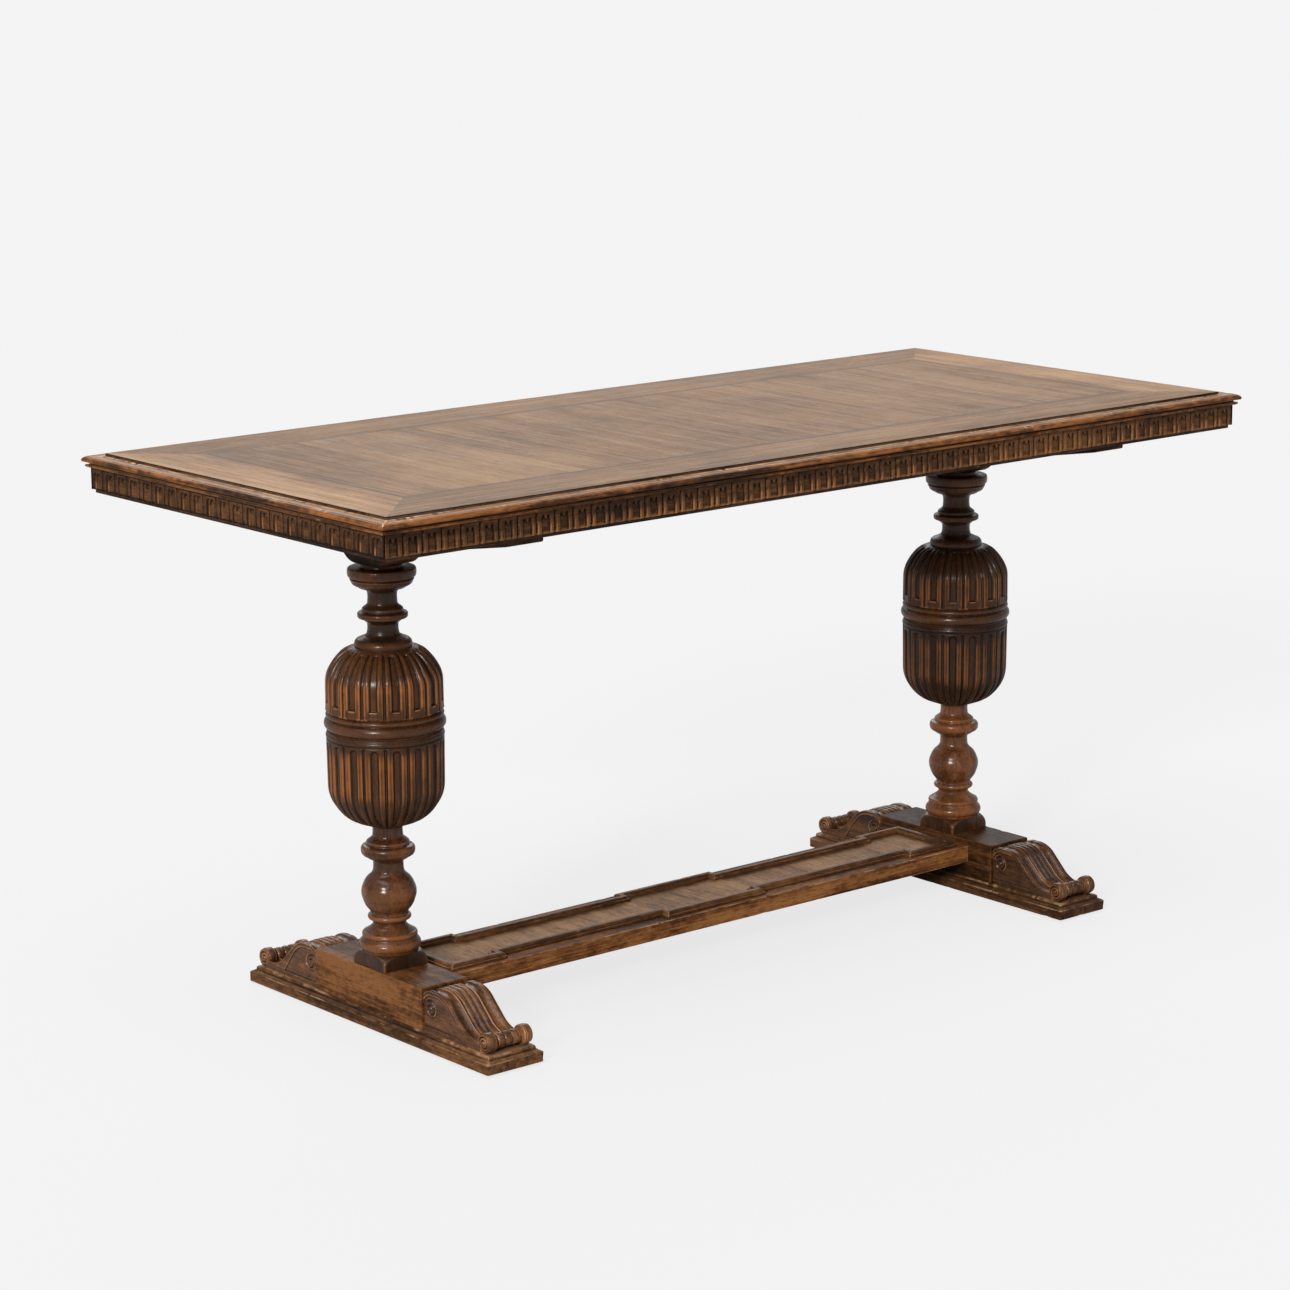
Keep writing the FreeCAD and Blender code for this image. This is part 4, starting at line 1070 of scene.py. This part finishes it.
LOWER = [
    (38.0, 0.0, 0), (38.8, 3.0, 0), (38.8, 15.5, 3.0), (36.4, 19.5, 0), (34.0, 26.5, 2.2),
    (27.0, 31.0, 0), (21.9, 36.0, 0), (23.0, 39.5, 0), (25.8, 42.5, 0), (25.8, 50.0, 3.6),
    (25.6, 53.0, 0), (27.0, 56.0, 0), (35.2, 70.5, 1.2), (34.6, 91.0, 2.3), (27.6, 102.0, 0.8),
    (21.0, 110.0, -0.8), (20.5, 122.0, -0.3), (27.0, 127.0, -0.9), (31.0, 130.2, 0),
    (36.5, 138.0, 1.8), (33.6, 144.4, 1.2), (29.6, 145.6, 0), (28.8, 147.0, 0), (27.8, 151.0, 0.9),
    (23.0, 154.6, 0), (20.6, 160.0, -0.8), (20.6, 171.0, -0.4), (25.7, 173.0, 0),
]
CUP = [
    (25.7, 0.0, 0), (40.7, 5.5, 0), (58.7, 16.5, 1.17), (71.3, 33.0, 0.78), (77.6, 57.0, 1.53),
    (78.3, 122.0, 0), (77.2, 128.0, 1.0), (77.2, 130.0, 0),
]
BAND = [
    (76.0, 0.0, 0), (76.6, 2.2, 0), (77.4, 3.4, 0), (77.6, 17.2, 3.9), (76.2, 18.3, 0), (77.6, 19.3, 0),
    (77.6, 24.6, 1.4), (76.0, 26.0, 0),
]
COVER = [
    (76.0, 0.0, 0), (77.2, 1.0, 0), (78.3, 5.0, 0.8), (78.0, 40.0, 0), (74.0, 56.0, 0.87),
    (61.1, 75.0, 0.82), (46.2, 84.5, 1.17), (40.0, 86.5, 0),
]
UPPER = [
    (38.5, 0.0, 0), (38.5, 1.5, 0), (34.6, 10.0, 1.6), (25.0, 14.0, 0), (21.5, 19.0, -0.8),
    (20.8, 28.5, -0.5), (23.0, 33.0, -0.8), (27.6, 37.0, 0), (31.0, 37.8, 0), (33.4, 41.6, 1.2),
    (31.4, 45.6, 1.2), (27.6, 46.8, 0), (27.2, 48.0, 0), (26.2, 51.8, 0.8), (22.4, 54.6, 0),
    (20.0, 60.0, -0.8), (20.0, 72.0, -0.4), (24.0, 76.5, -0.6), (31.0, 78.5, 0), (35.0, 81.5, 0),
    (41.0, 86.5, 1.2), (43.0, 90.4, 0), (41.0, 91.5, 0), (42.0, 92.8, 0), (45.0, 93.8, 0),
    (45.6, 103.0, 0.6), (43.0, 105.5, 0.8), (30.0, 106.5, 0), (29.0, 111.0, 0),
]


def darker(tones, share):
    """The same tones with their light scaled."""
    return [tuple(level * share for level in tone) for tone in tones]


# Tones run from the darkest to the lightest, as linear colours. The shares scale their light from
# one piece of the same kind to another: partly the differing tone of old pieces, partly painted
# light and shade, the right foot's copies darkened for the shade under the top and the right lower
# turning lightened for the light that falls on it.
turned_tones = ((0.024, 0.0100, 0.0045), (0.044, 0.0168, 0.0064), (0.100, 0.036, 0.0122))
turned_oak = oak("Turned oak", "z", turned_tones, gloss=0.30, polish=0.20, rub=0.3, wear=0.6, shine=0.22,
                 contrast=0.9, worn_to=(0.19, 0.064, 0.019))
# The band's tones are the turned oak's, darkened: painted shade under the overhang of the cover.
shade_darkened_band_tones = (DARKEST_BROWN, (0.027, 0.0107, 0.0043), (0.070, 0.0255, 0.009))
shade_darkened_band_oak = oak("Band oak, shade darkened", "z", shade_darkened_band_tones, gloss=0.28, polish=0.25, rub=0.35, wear=0.4, shine=0.22,
               contrast=0.9, worn_to=(0.14, 0.049, 0.015))
lower_tones = ((0.034, 0.0125, 0.0045), (0.088, 0.0310, 0.0100), (0.200, 0.071, 0.0215))
# The right lower turning's tones are lightened: painted light for the light that falls on it.
lower_oak = [oak("Lower turned oak, " + side, "z", darker(lower_tones, share), gloss=0.24, polish=0.35,
                 rub=0.5, wear=0.6, shine=0.22, contrast=0.8, dirt_and_shade=1.0, worn_to=(0.25, 0.085, 0.024))
             for side, share in (("left", 1.0), ("right", 1.7))]
carved_tones = ((0.024, 0.0100, 0.0042), (0.060, 0.0230, 0.0078), (0.110, 0.040, 0.013))
carved_oak = {}
# The right cup and cover are darker copies and the left cover a lighter one: partly the wood's own tone,
# partly painted shade and light.
for part, share in (("left cup", 1.0), ("left cover", 1.35), ("right cup", 0.60), ("right cover", 0.92)):
    carved_oak[part] = oak("Carved oak, " + part, "z", darker(carved_tones, share), gloss=0.30,
                           polish=0.14, rub=0.95, wear=0.15, dirt_and_shade=0.95, contrast=0.6,
                           worn_to=darker([(0.300, 0.100, 0.025)], share)[0])
rim_tones = ((0.026, 0.0100, 0.0038), (0.105, 0.037, 0.0100), (0.290, 0.104, 0.027))
# The rim wears to a near-white pale: partly real wear, partly a painted highlight along its arris.
rim_oak = [oak("Rim oak, " + way, axis, rim_tones, gloss=0.32, bleach_and_sheen=0.75, contrast=1.5, dirt_and_shade=1.0,
               worn_to=(0.70, 0.45, 0.26), bleach_and_sheen_to=(0.300, 0.160, 0.080))
           for way, axis in WAYS]
frieze_tones = (DARK_STAIN, (0.078, 0.032, 0.0115), (0.160, 0.068, 0.024))
frieze_oak = [oak("Frieze oak, " + way, axis, frieze_tones, gloss=0.45, rub=0.35, wear=0.85, dirt_and_shade=0.95,
                  shine=0.12, contrast=1.0, worn_to=(0.34, 0.145, 0.052))
              for way, axis in WAYS]
dark_oak = [oak("Dark oak, " + way, axis, (DARKEST_BROWN, DARK_STAIN, BROWN_STAIN), gloss=0.5)
            for way, axis in WAYS]
bearer_oak = oak("Bearer oak", "y", (DARKEST_BROWN, DARK_STAIN, BROWN_STAIN), gloss=0.55, wear=0.2, shine=0.1)
foot_tones = ((0.032, 0.0130, 0.0050), (0.100, 0.0405, 0.0145), (0.205, 0.090, 0.0335))
block_tones = ((0.036, 0.0140, 0.0052), (0.105, 0.0410, 0.0138), (0.225, 0.092, 0.0310))
scroll_tones = (DARK_STAIN, (0.100, 0.038, 0.0125), (0.210, 0.082, 0.0265))
base_oak, block_oak, scroll_oak = [], [], []
# The right foot's copies are darker and take less of the pale upward sheen: painted shade under the top,
# partly also darker wood.
for side, share, bleach_and_sheen in (("left", 1.0, 0.45), ("right", 0.62, 0.15)):
    base_oak.append(oak("Base board oak, " + side, "y", darker(foot_tones, 1.12 * share), gloss=0.42,
                        bleach_and_sheen=bleach_and_sheen, wear=0.7, contrast=1.2, shine=0.14, worn_to=(0.40, 0.23, 0.12)))
    block_oak.append(oak("Block oak, " + side, "y", darker(block_tones, share ** 1.55), gloss=0.42,
                         wear=0.12, contrast=1.4, shine=0.07, worn_to=(0.30, 0.13, 0.05)))
    scroll_oak.append(oak("Scroll oak, " + side, "y", darker(scroll_tones, 1.12 * share), gloss=0.28,
                          polish=0.30, rub=0.55, wear=0.85, dirt_and_shade=1.0, shine=0.22, contrast=1.0,
                          worn_to=darker([(0.45, 0.205, 0.083)], share ** 0.5)[0]))
edge_tones = ((0.056, 0.021, 0.0070), (0.190, 0.069, 0.0205), (0.350, 0.146, 0.046))
field_tones = ((0.104, 0.048, 0.0190), (0.282, 0.141, 0.0570), (0.480, 0.260, 0.1120))
stretcher_oak = oak("Stretcher oak", "x", edge_tones, gloss=0.48, wear=0.8, contrast=1.3, shine=0.08,
                    worn_to=(0.50, 0.30, 0.17), panel=field_tones)
mould_tones = ((0.040, 0.016, 0.0062), (0.118, 0.047, 0.0165), (0.225, 0.098, 0.0350))
mould_oak = [oak("Panel moulding oak, " + way, axis, mould_tones, gloss=0.38, wear=0.6, shine=0.15,
                 contrast=1.0, worn_to=(0.40, 0.205, 0.095))
             for way, axis in (("lengthways", "x"), ("crossways", "y"))]
top_tones = ((0.125, 0.064, 0.0300), (0.243, 0.139, 0.0715), (0.370, 0.225, 0.1210))
bare_tones = ((0.15, 0.10, 0.06), (0.24, 0.17, 0.11), (0.33, 0.24, 0.16))
bare_timber = oak("Bare timber", "x", bare_tones, gloss=0.65)
line_oak = oak("Stringing", "x", (DARK_STAIN, LINE_SHADE, BROWN_STAIN), gloss=0.5, wear=0.1, contrast=0.4)

dress("top_core", oak("Core edge oak", "x", (DARK_STAIN, (0.10, 0.055, 0.03), LINE_SHADE), gloss=0.5))
dress("corner_blocks", bare_timber)
dress("wood_screws", dull_steel("Screw steel"))
dress("floor_pads", felt("Pad felt"))
dress("field_veneer", veneer("Field veneer", "y", top_tones, LEAF_WIDTH))
dress("stringing", line_oak)
for number, side in enumerate(SIDES):
    # The end borders are lightened well above the long ones: painted sheen where light glances off the
    # top.
    sheen_lit_border_tones = darker(top_tones, (0.95, 1.42)[number % 2])
    border = veneer("Border veneer, " + side, "xy"[number % 2], sheen_lit_border_tones, board=3.3 * number + 2)
    dress("border_veneer_" + side, border)
    dress("frieze_fillet_" + side, dark_oak[number % 2])

edge_mouldings(rim_oak)
front_low, front_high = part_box("frieze_front")
for number, side in enumerate(SIDES):
    sizes = (front_high.x, -front_low.y) if number % 2 == 0 else (-front_low.y, front_high.x)
    frieze_rail("frieze_" + side, number, *sizes, frieze_oak[number % 2], 11.0 + number)

for number, side in enumerate(("left", "right")):
    leg = "pillar_" + side + "_"
    offset = 30.0 * number
    dress(leg + "dowel", bare_timber)
    plinth(leg + "plinth", turned_oak, offset + 1.1)
    turning(leg + "lower", LOWER, lower_oak[number], offset + 2.3)
    bulb_half(leg + "cup", CUP, cup_depth, CUP_RUBBED, carved_oak[side + " cup"], offset + 3.6)
    turning(leg + "band", BAND, shade_darkened_band_oak, offset + 4.2)
    bulb_half(leg + "cover", COVER, cover_depth, COVER_RUBBED, carved_oak[side + " cover"], offset + 5.9)
    turning(leg + "upper", UPPER, turned_oak, offset + 6.4)
    bearer("bearer_" + side, bearer_oak, offset + 7.7)
    foot = "foot_" + side + "_"
    foot_base(foot + "base", base_oak[number], offset + 8.5)
    foot_block(foot + "block", block_oak[number], offset + 9.8)
    for end in ("front", "back"):
        scroll(foot + "scroll_" + end, scroll_oak[number], offset + (10.6 if end == "front" else 12.4))
stretcher(stretcher_oak)
panel_mouldings(mould_oak)

studio()
viewpoint()
bpy.context.scene.view_settings.view_transform = "Standard"
